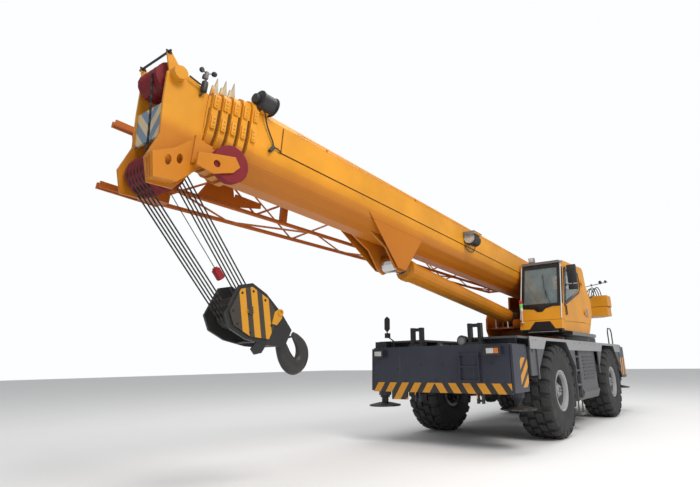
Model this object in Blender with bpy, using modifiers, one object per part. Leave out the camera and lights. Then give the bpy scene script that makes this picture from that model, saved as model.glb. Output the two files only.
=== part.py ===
"""Rough terrain crane, built as separate pieces on their joints. Metres, +X forward, +Z up.

Crane coordinates start on the ground under the front axle. The empty crane_origin moves them so
that the world origin is at the middle of the crane's footprint.
"""
import math

import bmesh
import bpy
from mathutils import Matrix, Vector

# Whole machine
ORIGIN_X = -0.694
GAP = 0.0003
BEARING_GAP = 0.0005
RUNNING_GAP = 0.006

# Wheels and axles
WHEELBASE = 4.70
TRACK = 2.62
TYRE_RADIUS = 0.935
TYRE_WIDTH = 0.75
LUG_HEIGHT = 0.05
TREAD_STEPS = 26
RIM_SEAT_RADIUS = 0.335
RIM_FLANGE_RADIUS = 0.4065
RIM_WIDTH = 0.65
RIM_STEPS = 14
HUB_INNER = -0.094
SPINDLE_RADIUS = 0.15
KINGPIN_Y = 0.84
KINGPIN_HALF = 0.24
AXLE_TUBE_RADIUS = 0.13
DIFFERENTIAL_RADIUS = 0.29

# Carrier
FRAME_HALF_WIDTH = 0.46
FRAME_WALL = 0.05
FRAME_TOP = 1.93
FRAME_AXLE_BOTTOM = 1.22
DECK_TOP = 1.99
DECK_SHEET = 0.04
DECK_HALF_WIDTH = 1.65
ARCH_REACH = 1.22
ARCH_FLAT = 0.68
ARCH_DROP = 0.54
FLAP_BOTTOM = 1.20
LADDER_X = (-1.79, -1.41)
LADDER_STEPS = (0.64, 1.60, 0.32)
RAIL_X = (-5.30, -5.80)
RAIL_TOP = 2.46

# Outriggers
FRONT_FACE_X = 2.38
REAR_FACE_X = -7.05
OUTRIGGER_HALF_WIDTH = 1.59
BOX_DEPTH = 0.75
BOX_BOTTOM = 0.98
BOX_END_WALL = 0.075
BOX_MIDDLE_WALL = 0.06
FRONT_BOX_TOP = 1.85
REAR_BOX_TOP = 1.9497
TUNNEL_HALF_WIDTH = OUTRIGGER_HALF_WIDTH - 0.35
BEAM_WIDTH = (BOX_DEPTH - 2 * BOX_END_WALL - BOX_MIDDLE_WALL) / 2
BEAM_BOTTOM = 1.21
BEAM_HEIGHT = 0.40
END_PLATE = 0.045
JACK_Y = OUTRIGGER_HALF_WIDTH - 0.19
JACK_SLEEVE = 0.03
JACK_RADIUS = BEAM_WIDTH / 2 - JACK_SLEEVE - 0.005
JACK_ROD_RADIUS = JACK_RADIUS - 0.03
PAD_RADIUS = 0.33
PAD_BOTTOM = 0.69
LADDER_Y = (0.54, 0.935)
YOKES = ((-0.465, 0.37), (0.85, 0.39))

# Upper works
SLEW_X = -2.75
RING_RADIUS = 0.80
RING_BOTTOM = 1.97
RING_TEETH = 24
UPPER_BOTTOM = 2.09
BED_PLATE = 0.07
SIDE_PLATE_Y = 0.475
SIDE_PLATE = 0.05
TAIL_X = -7.20
COUNTERWEIGHT_HALF_WIDTH = 1.50

# Boom, in boom coordinates: u forward from the foot pin, w up
FOOT_X = -4.50
FOOT_Z = 3.40
BOOM_RISE = math.atan(0.0556)
BOOM_HALF_WIDTH = 0.45
BOOM_TOP = 0.70
BOOM_BOTTOM = -0.28
BOOM_WALL = 0.014
SECTION_STEP = 0.032
BOOM_TAIL = -0.45
BASE_LENGTH = 12.0
WORK_LAMP = (6.13, 0.32)
CABLE_REEL = (11.82, 0.74)
SECTION_SPACING = 0.12
SECTION_COUNT = 5
BOOM_PIN = 0.08

# Lift cylinder
LIFT_FOOT = (-1.70, 2.62)
LIFT_EYE = (8.28, -0.59)
BARREL_RADIUS = 0.19
ROD_RADIUS = 0.125
EYE_RADIUS = 0.16
EYE_HALF_WIDTH = 0.165
LIFT_PIN = 0.07

# Hook block, hanging from the lower sheaves of the boom head
SHEAVE_AXIS = (12.79, -0.51)
SHEAVE_RADIUS = 0.235
SHEAVE_STEPS = 16
SHEAVE_PITCH = 0.07
GROOVE_DEPTH = 0.028
HEAD_SHEAVES = 6
BLOCK_SHEAVES = 5
BLOCK_SHEAVE_RADIUS = 0.20
BLOCK_PIN = 0.05
SHANK_RADIUS = 0.044
YOKE_DROP = 0.63
YOKE_HALF = 0.08
HOOK_DROP = 0.40
HOOK_RADIUS = 0.185
ROPE_RADIUS = 0.0105
ROPE_LEAN = math.radians(41.0)
BLOCK_LEAN = math.radians(23.3)
ROPE_DROP = 1.90

CRANE = bpy.data.collections.new("rough_terrain_crane")
CUTTERS = bpy.data.collections.new("cutting_bodies")
FRAMES = {}


def clear_scene():
    for obj in list(bpy.data.objects):
        bpy.data.objects.remove(obj, do_unlink=True)
    for group in (CRANE, CUTTERS):
        bpy.context.scene.collection.children.link(group)


def material(name, colour, roughness=0.45, metallic=0.0):
    made = bpy.data.materials.new(name)
    made.use_nodes = True
    shader = made.node_tree.nodes["Principled BSDF"]
    shader.inputs["Base Color"].default_value = (*colour, 1.0)
    shader.inputs["Roughness"].default_value = roughness
    shader.inputs["Metallic"].default_value = metallic
    made.diffuse_color = (*colour, 1.0)
    return made


# Placing: a frame is an empty on a joint's axis, and pieces hang from it
def frame(name, parent=None, at=(0, 0, 0), turn=None):
    empty = bpy.data.objects.new(name, None)
    CRANE.objects.link(empty)
    local = Matrix.Translation(at) @ (turn or Matrix.Identity(4))
    if parent:
        empty.parent = bpy.data.objects[parent]
    empty.matrix_local = local
    FRAMES[name] = (FRAMES[parent] @ local) if parent else Matrix.Identity(4)
    return name


def place(obj, name, finish, parent="crane_origin", local=False):
    """Name a piece and hang it from its frame. A piece in crane coordinates is moved to that frame."""
    if not local:
        obj.data.transform(FRAMES[parent].inverted())
    obj.name = name
    obj.data.name = name
    obj.data.materials.clear()
    obj.data.materials.append(finish)
    obj.parent = bpy.data.objects[parent]
    return obj


def mesh_object(mesh_data, name="piece"):
    obj = bpy.data.objects.new(name, mesh_data)
    CRANE.objects.link(obj)
    return obj


def from_bmesh(bm):
    data = bpy.data.meshes.new("piece")
    bm.to_mesh(data)
    bm.free()
    return mesh_object(data)


def settle(obj):
    """Replace an object's mesh, or curve, by its evaluated mesh."""
    graph = bpy.context.evaluated_depsgraph_get()
    data = bpy.data.meshes.new_from_object(obj.evaluated_get(graph))
    bm = bmesh.new()
    bm.from_mesh(data)
    bmesh.ops.remove_doubles(bm, verts=bm.verts, dist=0.00002)
    bm.to_mesh(data)
    bm.free()
    if obj.type == "MESH":
        obj.modifiers.clear()
        obj.data = data
        return obj
    made = mesh_object(data)
    made.matrix_world = obj.matrix_world
    bpy.data.objects.remove(obj, do_unlink=True)
    return made


# Shapes
def block(x, y, z):
    """A box between two limits on each axis."""
    bm = bmesh.new()
    size = Matrix.Diagonal((x[1] - x[0], y[1] - y[0], z[1] - z[0], 1.0))
    middle = Matrix.Translation(((x[0] + x[1]) / 2, (y[0] + y[1]) / 2, (z[0] + z[1]) / 2))
    bmesh.ops.create_cube(bm, size=1.0, matrix=middle @ size)
    return from_bmesh(bm)


def rod(start, end, radius, sides=16, end_radius=None, roll=0.0):
    """A straight round bar, or a cone, between two points."""
    start, end = Vector(start), Vector(end)
    along = end - start
    turn = along.to_track_quat("Z", "Y").to_matrix().to_4x4()
    bm = bmesh.new()
    bmesh.ops.create_cone(
        bm, cap_ends=True, segments=sides, radius1=radius,
        radius2=radius if end_radius is None else end_radius, depth=along.length,
        matrix=Matrix.Translation((start + end) / 2) @ turn @ Matrix.Rotation(roll, 4, "Z"))
    return from_bmesh(bm)


PLANES = {
    "XZ": Matrix(((1, 0, 0, 0), (0, 0, 1, 0), (0, 1, 0, 0), (0, 0, 0, 1))),
    "XY": Matrix.Identity(4),
    "YZ": Matrix(((0, 0, 1, 0), (1, 0, 0, 0), (0, 1, 0, 0), (0, 0, 0, 1))),
}


def plate(outline, span, plane="XZ", holes=()):
    """A flat outline with its holes, made thick between the two limits in span."""
    if not holes:
        return slab(outline, span, plane)
    curve = bpy.data.curves.new("outline", "CURVE")
    curve.dimensions = "2D"
    curve.fill_mode = "BOTH"
    curve.extrude = (span[1] - span[0]) / 2
    for loop in (outline, *holes):
        spline = curve.splines.new("POLY")
        spline.points.add(len(loop) - 1)
        spline.use_cyclic_u = True
        for point, (a, b) in zip(spline.points, loop):
            point.co = (a, b, 0.0, 1.0)
    obj = bpy.data.objects.new("outline", curve)
    CRANE.objects.link(obj)
    made = settle(obj)
    made.data.transform(PLANES[plane] @ Matrix.Translation((0, 0, (span[0] + span[1]) / 2)))
    return outward(made)


def slab(outline, span, plane):
    """A prism on one flat outline."""
    bm = bmesh.new()
    base = bm.faces.new([bm.verts.new((a, b, span[0])) for a, b in outline])
    top = bmesh.ops.extrude_face_region(bm, geom=[base])
    moved = [item for item in top["geom"] if isinstance(item, bmesh.types.BMVert)]
    bmesh.ops.translate(bm, verts=moved, vec=(0, 0, span[1] - span[0]))
    obj = from_bmesh(bm)
    obj.data.transform(PLANES[plane])
    return outward(obj)


def pipe(points, radius, resolution=1, cyclic=False):
    """A round bar along a path."""
    curve = bpy.data.curves.new("path", "CURVE")
    curve.dimensions = "3D"
    curve.bevel_depth = radius
    curve.bevel_resolution = resolution
    curve.use_fill_caps = not cyclic
    spline = curve.splines.new("POLY")
    spline.points.add(len(points) - 1)
    spline.use_cyclic_u = cyclic
    for point, co in zip(spline.points, points):
        point.co = (*co, 1.0)
    obj = bpy.data.objects.new("path", curve)
    CRANE.objects.link(obj)
    return outward(settle(obj))


def turned(profile, at, axis="Y", steps=24, closed=False):
    """Turn a profile of (radius, along) points about an axis through a point."""
    bm = bmesh.new()
    verts = [bm.verts.new((radius, 0.0, along)) for radius, along in profile]
    pairs = list(zip(verts, verts[1:])) + ([(verts[-1], verts[0])] if closed else [])
    for pair in pairs:
        bm.edges.new(pair)
    obj = from_bmesh(bm)
    screw = obj.modifiers.new("turn", "SCREW")
    screw.axis = "Z"
    screw.steps = steps
    screw.render_steps = steps
    screw.use_merge_vertices = True
    screw.merge_threshold = 0.0001
    settle(obj)
    turn = {"Z": Matrix.Identity(4), "Y": Matrix.Rotation(-math.pi / 2, 4, "X"),
            "X": Matrix.Rotation(math.pi / 2, 4, "Y")}[axis]
    obj.data.transform(Matrix.Translation(at) @ turn)
    return outward(obj)


def outward(obj):
    bm = bmesh.new()
    bm.from_mesh(obj.data)
    bmesh.ops.recalc_face_normals(bm, faces=bm.faces)
    bm.to_mesh(obj.data)
    bm.free()
    return obj


def combine(base, others, operation):
    for other in others:
        step = base.modifiers.new(operation.lower(), "BOOLEAN")
        step.operation = operation
        step.solver = "EXACT"
        step.object = other
        settle(base)
        bpy.data.objects.remove(other, do_unlink=True)
    return base


def weld(base, *others):
    return combine(base, others, "UNION")


def cut(base, *others):
    return combine(base, others, "DIFFERENCE")


def weld_many(base, others):
    """Join many crossing bars in one step."""
    group = bpy.data.collections.new("bars")
    CUTTERS.children.link(group)
    for other in others:
        group.objects.link(other)
    step = base.modifiers.new("union", "BOOLEAN")
    step.operation = "UNION"
    step.solver = "EXACT"
    step.operand_type = "COLLECTION"
    step.collection = group
    settle(base)
    for other in others:
        bpy.data.objects.remove(other, do_unlink=True)
    bpy.data.collections.remove(group)
    return base


def circle(centre, radius, sides=16, start=0.0):
    return [(centre[0] + radius * math.cos(start + 2 * math.pi * i / sides),
             centre[1] + radius * math.sin(start + 2 * math.pi * i / sides)) for i in range(sides)]


def rounded(centre, half_width, half_height, corner):
    """An upright rectangle with its corners cut off."""
    return [(centre[0] + a * (half_width - p), centre[1] + b * (half_height - q))
            for a, b, order in ((1, 1, 1), (-1, 1, 0), (-1, -1, 1), (1, -1, 0))
            for p, q in (((0, corner), (corner, 0)) if order else ((corner, 0), (0, corner)))]


def pin_bore(radius, sides=12):
    """Radius of a many-sided hole that leaves a running gap round a pin."""
    return (radius + BEARING_GAP) / math.cos(math.pi / sides)


def mirrored(outline):
    """Complete a half outline, listed from its top middle to its bottom middle."""
    other = [(-y, z) for y, z in reversed(outline) if abs(y) > 1e-6]
    return list(outline) + other


def inset(outline, distance):
    """Move every side of an outline inwards by one distance."""
    area = sum(a[0] * b[1] - b[0] * a[1] for a, b in zip(outline, outline[1:] + outline[:1]))
    sense = 1.0 if area > 0 else -1.0
    made = []
    count = len(outline)
    for i in range(count):
        before, here, after = (Vector(outline[(i + k) % count]) for k in (-1, 0, 1))
        first, second = (here - before).normalized(), (after - here).normalized()
        normal_a = Vector((-first.y, first.x)) * sense
        normal_b = Vector((-second.y, second.x)) * sense
        middle = (normal_a + normal_b).normalized()
        made.append(tuple(here + middle * (distance / middle.dot(normal_a))))
    return made


# Wheels
def tyre(name, parent, rubber):
    """A casing seated between the rim's flanges, with staggered lugs: (across, radius) points."""
    half = TYRE_WIDTH / 2
    tread = TYRE_RADIUS - LUG_HEIGHT
    bead = RIM_WIDTH / 2 - 0.010 - GAP
    seat, flange = ((radius + GAP) / math.cos(math.pi / TREAD_STEPS) for radius in (RIM_SEAT_RADIUS, RIM_FLANGE_RADIUS))
    profile = [(-bead, seat), (-bead, flange), (-half, 0.60), (-half * 0.97, 0.79), (-0.30, tread),
               (0.0, tread + 0.005), (0.30, tread), (half * 0.97, 0.79), (half, 0.60), (bead, flange), (bead, seat)]
    bm = bmesh.new()
    rings = []
    for step in range(TREAD_STEPS):
        turn = 2 * math.pi * step / TREAD_STEPS
        ring = []
        for across, radius in profile:
            slant = 0.13 * abs(across) / half if radius > 0.78 else 0.0
            angle = turn + slant
            ring.append(bm.verts.new((radius * math.cos(angle), across, radius * math.sin(angle))))
        rings.append(ring)
    lugs = []
    for step in range(TREAD_STEPS):
        here, after = rings[step], rings[(step + 1) % TREAD_STEPS]
        for i in range(len(profile)):
            j = (i + 1) % len(profile)
            face = bm.faces.new((here[i], here[j], after[j], after[i]))
            side = 0 if i in (3, 4) else 1 if i in (5, 6) else None
            if side is not None and step % 2 == side:
                lugs.append((step, side, face))
    bmesh.ops.recalc_face_normals(bm, faces=bm.faces)
    for step in range(TREAD_STEPS):
        group = [face for at, _, face in lugs if at == step]
        raised = bmesh.ops.extrude_face_region(bm, geom=group)
        for vert in (item for item in raised["geom"] if isinstance(item, bmesh.types.BMVert)):
            radius = math.hypot(vert.co.x, vert.co.z)
            scale = (TYRE_RADIUS if radius > 0.83 else radius + 0.035) / radius
            vert.co.x *= scale
            vert.co.z *= scale
            if abs(vert.co.y) < 0.01:
                vert.co.y += 0.02 if step % 2 else -0.02
            elif radius <= 0.83:
                vert.co.y *= 1.03
        bmesh.ops.delete(bm, geom=group, context="FACES")
    bmesh.ops.recalc_face_normals(bm, faces=bm.faces)
    return place(from_bmesh(bm), name, rubber, parent, local=True)


def rim(name, parent, finish, outboard):
    """Barrel, disc and hub turned as one: (radius, across) from the outboard centre inwards."""
    flange, seat, width = RIM_FLANGE_RADIUS, RIM_SEAT_RADIUS, RIM_WIDTH / 2
    profile = [(0.0, 0.20), (0.13, 0.20), (0.18, 0.15), (0.18, 0.06), (0.27, 0.05), (0.30, width - 0.02),
               (flange, width + 0.012), (flange, width - 0.010), (seat, width - 0.010),
               (seat, 0.010 - width), (flange, 0.010 - width), (flange, -0.012 - width),
               (0.30, 0.02 - width), (0.27, 0.02), (0.19, HUB_INNER), (0.0, HUB_INNER)]
    made = turned([(radius, across * outboard) for radius, across in profile], (0, 0, 0), "Y", RIM_STEPS)
    return place(made, name, finish, parent, local=True)


def knuckle(name, parent, finish, outboard):
    """Kingpin boss, flange and spindle, with the steering arm behind."""
    reach = TRACK / 2 - KINGPIN_Y
    spindle_end = (reach - abs(HUB_INNER) - BEARING_GAP) * outboard
    boss = rod((0, 0, -KINGPIN_HALF), (0, 0, KINGPIN_HALF), 0.085, 8)
    flange = rod((0, 0.10 * outboard, 0), (0, 0.145 * outboard, 0), 0.22, 10)
    neck = block((-0.10, 0.10), sorted((0.0, 0.12 * outboard)), (-0.15, 0.15))
    spindle = rod((0, 0.13 * outboard, 0), (0, spindle_end, 0), SPINDLE_RADIUS, 10)
    arm = block((-0.30, 0.0), sorted((-0.03 * outboard, 0.03 * outboard)), (-0.14, -0.09))
    return place(weld(boss, neck, flange, spindle, arm), name, finish, parent, local=True)


def axle(name, x, finish):
    """Drive axle: tube, differential housing, seats under the frame and kingpin yokes."""
    height = TYRE_RADIUS
    end = KINGPIN_Y - 0.17
    tube = rod((x, -end, height), (x, end, height), AXLE_TUBE_RADIUS, 10)
    bulge = turned([(0.0, -0.24), (0.17, -0.22), (DIFFERENTIAL_RADIUS, -0.06),
                    (DIFFERENTIAL_RADIUS, 0.06), (0.17, 0.22), (0.0, 0.24)], (x, 0, height), "Y", 10)
    nose = rod((x - 0.42, 0, height + 0.02), (x, 0, height + 0.02), 0.09, 8, 0.15)
    parts = [bulge, nose]
    for side in (-1, 1):
        seat_y = sorted((side * 0.30, side * 0.42))
        parts.append(block((x - 0.18, x + 0.18), seat_y, (height, FRAME_AXLE_BOTTOM - GAP)))
        web = sorted((side * (end - 0.02), side * (end + 0.04)))
        parts.append(block((x - 0.13, x + 0.13), web, (height - 0.31, height + 0.31)))
        for low in (KINGPIN_HALF + BEARING_GAP, -0.31):
            span = (height + low, height + (0.31 if low > 0 else -KINGPIN_HALF - BEARING_GAP))
            reach = sorted((side * (end + 0.02), side * (KINGPIN_Y + 0.07)))
            parts.append(block((x - 0.12, x + 0.12), reach, span))
    return place(weld(tube, *parts), name, finish)


# Carrier
def chassis_frame(finish):
    """Welded box frame, open below between its cross members, with the slewing ring's seat."""
    rear, front = REAR_FACE_X + BOX_DEPTH + GAP, FRONT_FACE_X - BOX_DEPTH - GAP
    arch = FRAME_AXLE_BOTTOM
    outline = [(front, 1.78), (front, 1.08), (0.62, 1.08), (0.42, arch), (-0.45, arch), (-0.75, 1.0),
               (-3.95, 1.0), (-4.25, arch), (-5.15, arch), (-5.35, 1.10), (rear, 1.10), (rear, 1.60),
               (-4.45, 1.60), (-4.15, FRAME_TOP), (-1.10, FRAME_TOP)]
    body = plate(outline, (-FRAME_HALF_WIDTH, FRAME_HALF_WIDTH))
    inner = FRAME_HALF_WIDTH - FRAME_WALL
    bays = [(0.68, front - FRAME_WALL, 1.70), (-3.90, -0.80, 1.80), (rear + FRAME_WALL, -5.40, 1.54)]
    body = cut(body, *[block((a, b), (-inner, inner), (0.9, top)) for a, b, top in bays])
    seat = rod((SLEW_X, 0, FRAME_TOP - 0.10), (SLEW_X, 0, RING_BOTTOM - GAP), RING_RADIUS + 0.10, 24)
    wings = block((SLEW_X - 0.45, SLEW_X + 0.45), (-0.78, 0.78), (1.55, FRAME_TOP - 0.03))
    return place(weld(body, seat, wings), "chassis_frame", finish)


def outrigger_box(name, face, top, direction, finish):
    """Cross box with two tunnels side by side; its striped face plate spans the machine."""
    back = face - direction * BOX_DEPTH
    skin = 0.05
    inner_face = face - direction * skin
    body = block(sorted((back, inner_face)), (-TUNNEL_HALF_WIDTH, TUNNEL_HALF_WIDTH), (BOX_BOTTOM, top))
    tunnels = []
    for slot in (0, 1):
        x = beam_x(face, direction, slot)
        half = BEAM_WIDTH / 2 + RUNNING_GAP
        floor = BEAM_BOTTOM - BEARING_GAP
        roof = BEAM_BOTTOM + BEAM_HEIGHT + RUNNING_GAP
        reach = OUTRIGGER_HALF_WIDTH + 0.4
        tunnels.append(block((x - half, x + half), (-reach, reach), (floor, roof)))
    body = cut(body, *tunnels)
    half_width = OUTRIGGER_HALF_WIDTH - END_PLATE - 0.005 - RUNNING_GAP
    front = block(sorted((face, inner_face - direction * 0.01)), (-half_width, half_width), (BOX_BOTTOM, top))
    lid = block(sorted((back, face)), (-half_width, half_width), (top - 0.05, top))
    fittings = front_fittings(half_width) if direction > 0 else rear_fittings(half_width)
    return place(weld(body, front, lid, *fittings), name, finish)


def clevis(face, direction, y):
    """Tow eye under the face plate: two lugs and their pin."""
    lugs = [block(sorted((face, face - direction * 0.09)), (y + way * 0.05 - 0.012, y + way * 0.05 + 0.012),
                  (BOX_BOTTOM - 0.17, BOX_BOTTOM + 0.02)) for way in (-1, 1)]
    middle = face - direction * 0.045
    return lugs + [rod((middle, y - 0.07, BOX_BOTTOM - 0.12), (middle, y + 0.07, BOX_BOTTOM - 0.12), 0.022, 8)]


def front_fittings(half_width):
    """Lamps, hanging ladder, boom yokes, mirror post, beacon and tow eyes on the front box."""
    face, top = FRONT_FACE_X, FRONT_BOX_TOP
    shapes = []
    for y, width in ((0.05 - half_width, 0.24), (half_width - 0.50, 0.35)):
        shapes.append(block((face - 0.01, face + 0.07), (y, y + width), (top - 0.20, top - 0.05)))
        shapes.append(block((face + 0.06, face + 0.085), (y + 0.02, y + width - 0.02), (top - 0.18, top - 0.07)))
    low, high = BOX_BOTTOM + 0.19, top - 0.14
    for y in LADDER_Y:
        shapes.append(block((face + 0.035, face + 0.06), (y - 0.0125, y + 0.0125), (low, high)))
    for z in (low + 0.02, (low + high) / 2, high - 0.05):
        shapes.append(block((face + 0.035, face + 0.06), LADDER_Y, (z, z + 0.025)))
    for y in LADDER_Y:
        for z in (low + 0.06, high - 0.10):
            shapes.append(block((face - 0.01, face + 0.045), (y - 0.01, y + 0.01), (z, z + 0.03)))
    for y, rise in YOKES:
        foot = (face - 0.13, face - 0.03)
        shapes.append(block((foot[0] - 0.02, foot[1] + 0.02), (y - 0.17, y + 0.17), (top - 0.01, top + 0.04)))
        for way in (-1, 1):
            shapes.append(block(foot, (y + way * 0.105 - 0.035, y + way * 0.105 + 0.035), (top, top + rise)))
        shapes.append(block(foot, (y - 0.12, y + 0.12), (top + rise - 0.07, top + rise - 0.01)))
    post = face - 0.10
    mirror_y = 0.28 - half_width
    shapes.append(pipe([(post, mirror_y + 0.18, top - 0.02), (post, mirror_y + 0.17, top + 0.13),
                        (post, mirror_y + 0.04, top + 0.21), (post, mirror_y, top + 0.28), (post, mirror_y, top + 0.46)],
                       0.014, 1))
    shapes.append(block((post - 0.05, post + 0.03), (mirror_y - 0.045, mirror_y + 0.05), (top + 0.20, top + 0.30)))
    shapes.append(plate(rounded((mirror_y, top + 0.49), 0.06, 0.155, 0.05), (post - 0.02, post + 0.02), "YZ"))
    shapes.append(block((face - 0.20, face - 0.01), (0.03 - half_width, 0.32 - half_width), (top - 0.01, top + 0.12)))
    shapes.append(rod((face - 0.13, 0.59, top + 0.075), (face - 0.01, 0.59, top + 0.075), 0.095, 10))
    shapes.append(block((face - 0.10, face - 0.04), (0.56, 0.62), (top - 0.01, top + 0.03)))
    shapes.append(block((face - 0.05, face), (-1.07, -0.70), (BOX_BOTTOM - 0.14, BOX_BOTTOM + 0.01)))
    return shapes + clevis(face, 1, 0.90) + clevis(face, 1, -0.45)


def rear_fittings(half_width):
    """Rear lamp clusters and tow eyes."""
    face, top = REAR_FACE_X, REAR_BOX_TOP
    shapes = []
    for side in (-1, 1):
        span = sorted((side * (half_width - 0.08), side * (half_width - 0.48)))
        shapes.append(block((face - 0.05, face + 0.01), span, (top - 0.30, top - 0.12)))
    return shapes + clevis(face, -1, 0.45) + clevis(face, -1, -0.45)


def beam_x(face, direction, slot):
    """Middle of a beam: slot 0 lies behind the face plate, slot 1 behind that."""
    return face - direction * (BOX_END_WALL + BEAM_WIDTH / 2 + (BEAM_WIDTH + BOX_MIDDLE_WALL) * slot)


def outrigger(name, face, top, direction, side, slot, finish, grey):
    """One beam with its end plate, and the jack that stands in it."""
    x = beam_x(face, direction, slot)
    half = BEAM_WIDTH / 2
    outer = OUTRIGGER_HALF_WIDTH
    beam = block((x - half, x + half), sorted((-side * (TUNNEL_HALF_WIDTH - 0.01), side * (outer - 0.06))),
                 (BEAM_BOTTOM, BEAM_BOTTOM + BEAM_HEIGHT))
    sleeve = rod((x, side * JACK_Y, 0.90), (x, side * JACK_Y, top - 0.06), JACK_RADIUS + JACK_SLEEVE, 12)
    near = x + direction * (half + 0.01)
    far = x - direction * (half + 0.01)
    end_plate = block(sorted((face - direction * 0.005, min(far, near) if direction > 0 else max(far, near))),
                      sorted((side * (outer - END_PLATE), side * outer)), (1.0, top - 0.02))
    link = block((x - half + 0.02, x + half - 0.02), sorted((side * (JACK_Y + 0.05), side * (outer - 0.02))),
                 (1.10, top - 0.08))
    bore = rod((x, side * JACK_Y, 0.80), (x, side * JACK_Y, top - 0.12), JACK_RADIUS + BEARING_GAP, 12)
    beam = cut(weld(beam, sleeve, link, end_plate), bore)
    place(beam, "outrigger_beam_" + name, finish, "outrigger_" + name)

    ram = rod((x, side * JACK_Y, 0.86), (x, side * JACK_Y, top - 0.13), JACK_RADIUS, 12)
    foot = rod((x, side * JACK_Y, PAD_BOTTOM + 0.03), (x, side * JACK_Y, 0.90), JACK_ROD_RADIUS, 12)
    pad = turned([(0.0, 0.0), (PAD_RADIUS, 0.0), (PAD_RADIUS, 0.025), (0.12, 0.07), (0.0, 0.07)],
                 (x, side * JACK_Y, PAD_BOTTOM), "Z", 16)
    place(weld(ram, foot, pad), "outrigger_jack_" + name, grey, "jack_" + name)


def arch(x):
    """Lower edge of the deck's side skirt over one wheel, from front to rear."""
    low = DECK_TOP - 0.06
    return [(x + ARCH_REACH + 0.05, 1.76), (x + ARCH_REACH + 0.05, FLAP_BOTTOM), (x + ARCH_REACH, FLAP_BOTTOM),
            (x + ARCH_REACH, low - ARCH_DROP), (x + ARCH_FLAT, low), (x - ARCH_FLAT, low),
            (x - ARCH_REACH, low - ARCH_DROP), (x - ARCH_REACH, FLAP_BOTTOM),
            (x - ARCH_REACH - 0.05, FLAP_BOTTOM), (x - ARCH_REACH - 0.05, 1.76)]


def deck(name, side, finish):
    """Deck sheet, side skirt and the arches over both wheels of one side."""
    front = FRONT_FACE_X - BOX_DEPTH - 0.01
    rear = REAR_FACE_X + BOX_DEPTH + 0.01
    outer, skin = DECK_HALF_WIDTH, 0.03
    skirt_line = [(front, DECK_TOP), (front, 1.76)] + arch(0.0) + arch(-WHEELBASE) + [(rear, 1.76), (rear, DECK_TOP)]
    skirt = plate(skirt_line, sorted((side * (outer - skin), side * outer)))
    over_front, over_rear, inner = FRONT_FACE_X - 0.28, REAR_FACE_X + 0.05, FRAME_HALF_WIDTH + 0.01
    ring = RING_RADIUS + 0.17
    notch = RING_RADIUS + 0.13
    front_edge, rear_edge = outer - 0.05, outer - 0.12
    line = [(over_front, inner), (over_front, front_edge), (front, front_edge), (front, outer - 0.005),
            (rear, outer - 0.005), (rear, rear_edge), (over_rear, rear_edge), (over_rear, inner),
            (SLEW_X - ring, inner), (SLEW_X - ring, notch),
            (SLEW_X + ring, notch), (SLEW_X + ring, inner)]
    sheet = plate([(x, side * y) for x, y in line], (DECK_TOP - DECK_SHEET, DECK_TOP), "XY")
    ribs = [block((x - 0.03, x + 0.03), sorted((side * (FRAME_HALF_WIDTH + GAP), side * (outer - 0.01))),
                  (low, DECK_TOP - 0.03)) for x, low in ((1.45, 1.70), (-1.31, 1.80), (-3.72, 1.80), (-6.02, 1.50))]
    ribs.append(block((1.90, 1.94), sorted((side * 0.50, side * (outer - 0.15))), (FRONT_BOX_TOP + GAP, DECK_TOP - 0.03)))
    flaps = []
    for x in (0.0, -WHEELBASE):
        for way in (-1, 1):
            low = DECK_TOP - 0.06
            line = [(x + way * (ARCH_FLAT - 0.05), low), (x + way * ARCH_FLAT, low),
                    (x + way * ARCH_REACH, low - ARCH_DROP), (x + way * ARCH_REACH, FLAP_BOTTOM),
                    (x + way * (ARCH_REACH + 0.025), FLAP_BOTTOM), (x + way * (ARCH_REACH + 0.025), low - ARCH_DROP + 0.01),
                    (x + way * (ARCH_FLAT + 0.02), low + 0.03), (x + way * (ARCH_FLAT - 0.05), low + 0.03)]
            flaps.append(plate(line, sorted((side * (outer - 0.70), side * (outer - 0.01)))))
    locker = block((front - 0.34, front - 0.02), sorted((side * (outer - 0.37), side * (outer - 0.025))), (1.27, 1.80))
    y = side * (outer - 0.08)
    x, top, leg = RAIL_X, RAIL_TOP, DECK_TOP - 0.02
    rail = pipe([(x[0], y, leg), (x[0], y, top - 0.10), (x[0] - 0.10, y, top), (x[1] + 0.10, y, top),
                 (x[1], y, top - 0.10), (x[1], y, leg)], 0.02, 1)
    return place(weld(skirt, sheet, *ribs, *flaps, *side_ladder(side), locker, rail), name, finish)


def side_tank(name, side, finish):
    """Louvred tank between the wheels, on two arms from the frame."""
    outline = [(1.16, 0.66), (1.56, 0.63), (1.62, 0.80), (1.58, 0.87), (1.58, DECK_TOP - DECK_SHEET - GAP),
               (1.16, DECK_TOP - DECK_SHEET - GAP)]
    body = plate([(side * y, z) for y, z in outline], (-3.30, -1.83), "YZ")
    louvres = [block((-3.08, -2.10), sorted((side * 1.57, side * 1.592)), (z, z + 0.035))
               for z in (1.08 + 0.085 * i for i in range(7))]
    arms = [block((x - 0.08, x + 0.08), sorted((side * (FRAME_HALF_WIDTH + GAP), side * 1.20)), (1.12, 1.28))
            for x in (-2.05, -3.05)]
    return place(weld(body, *arms, *louvres), name, finish)


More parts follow.
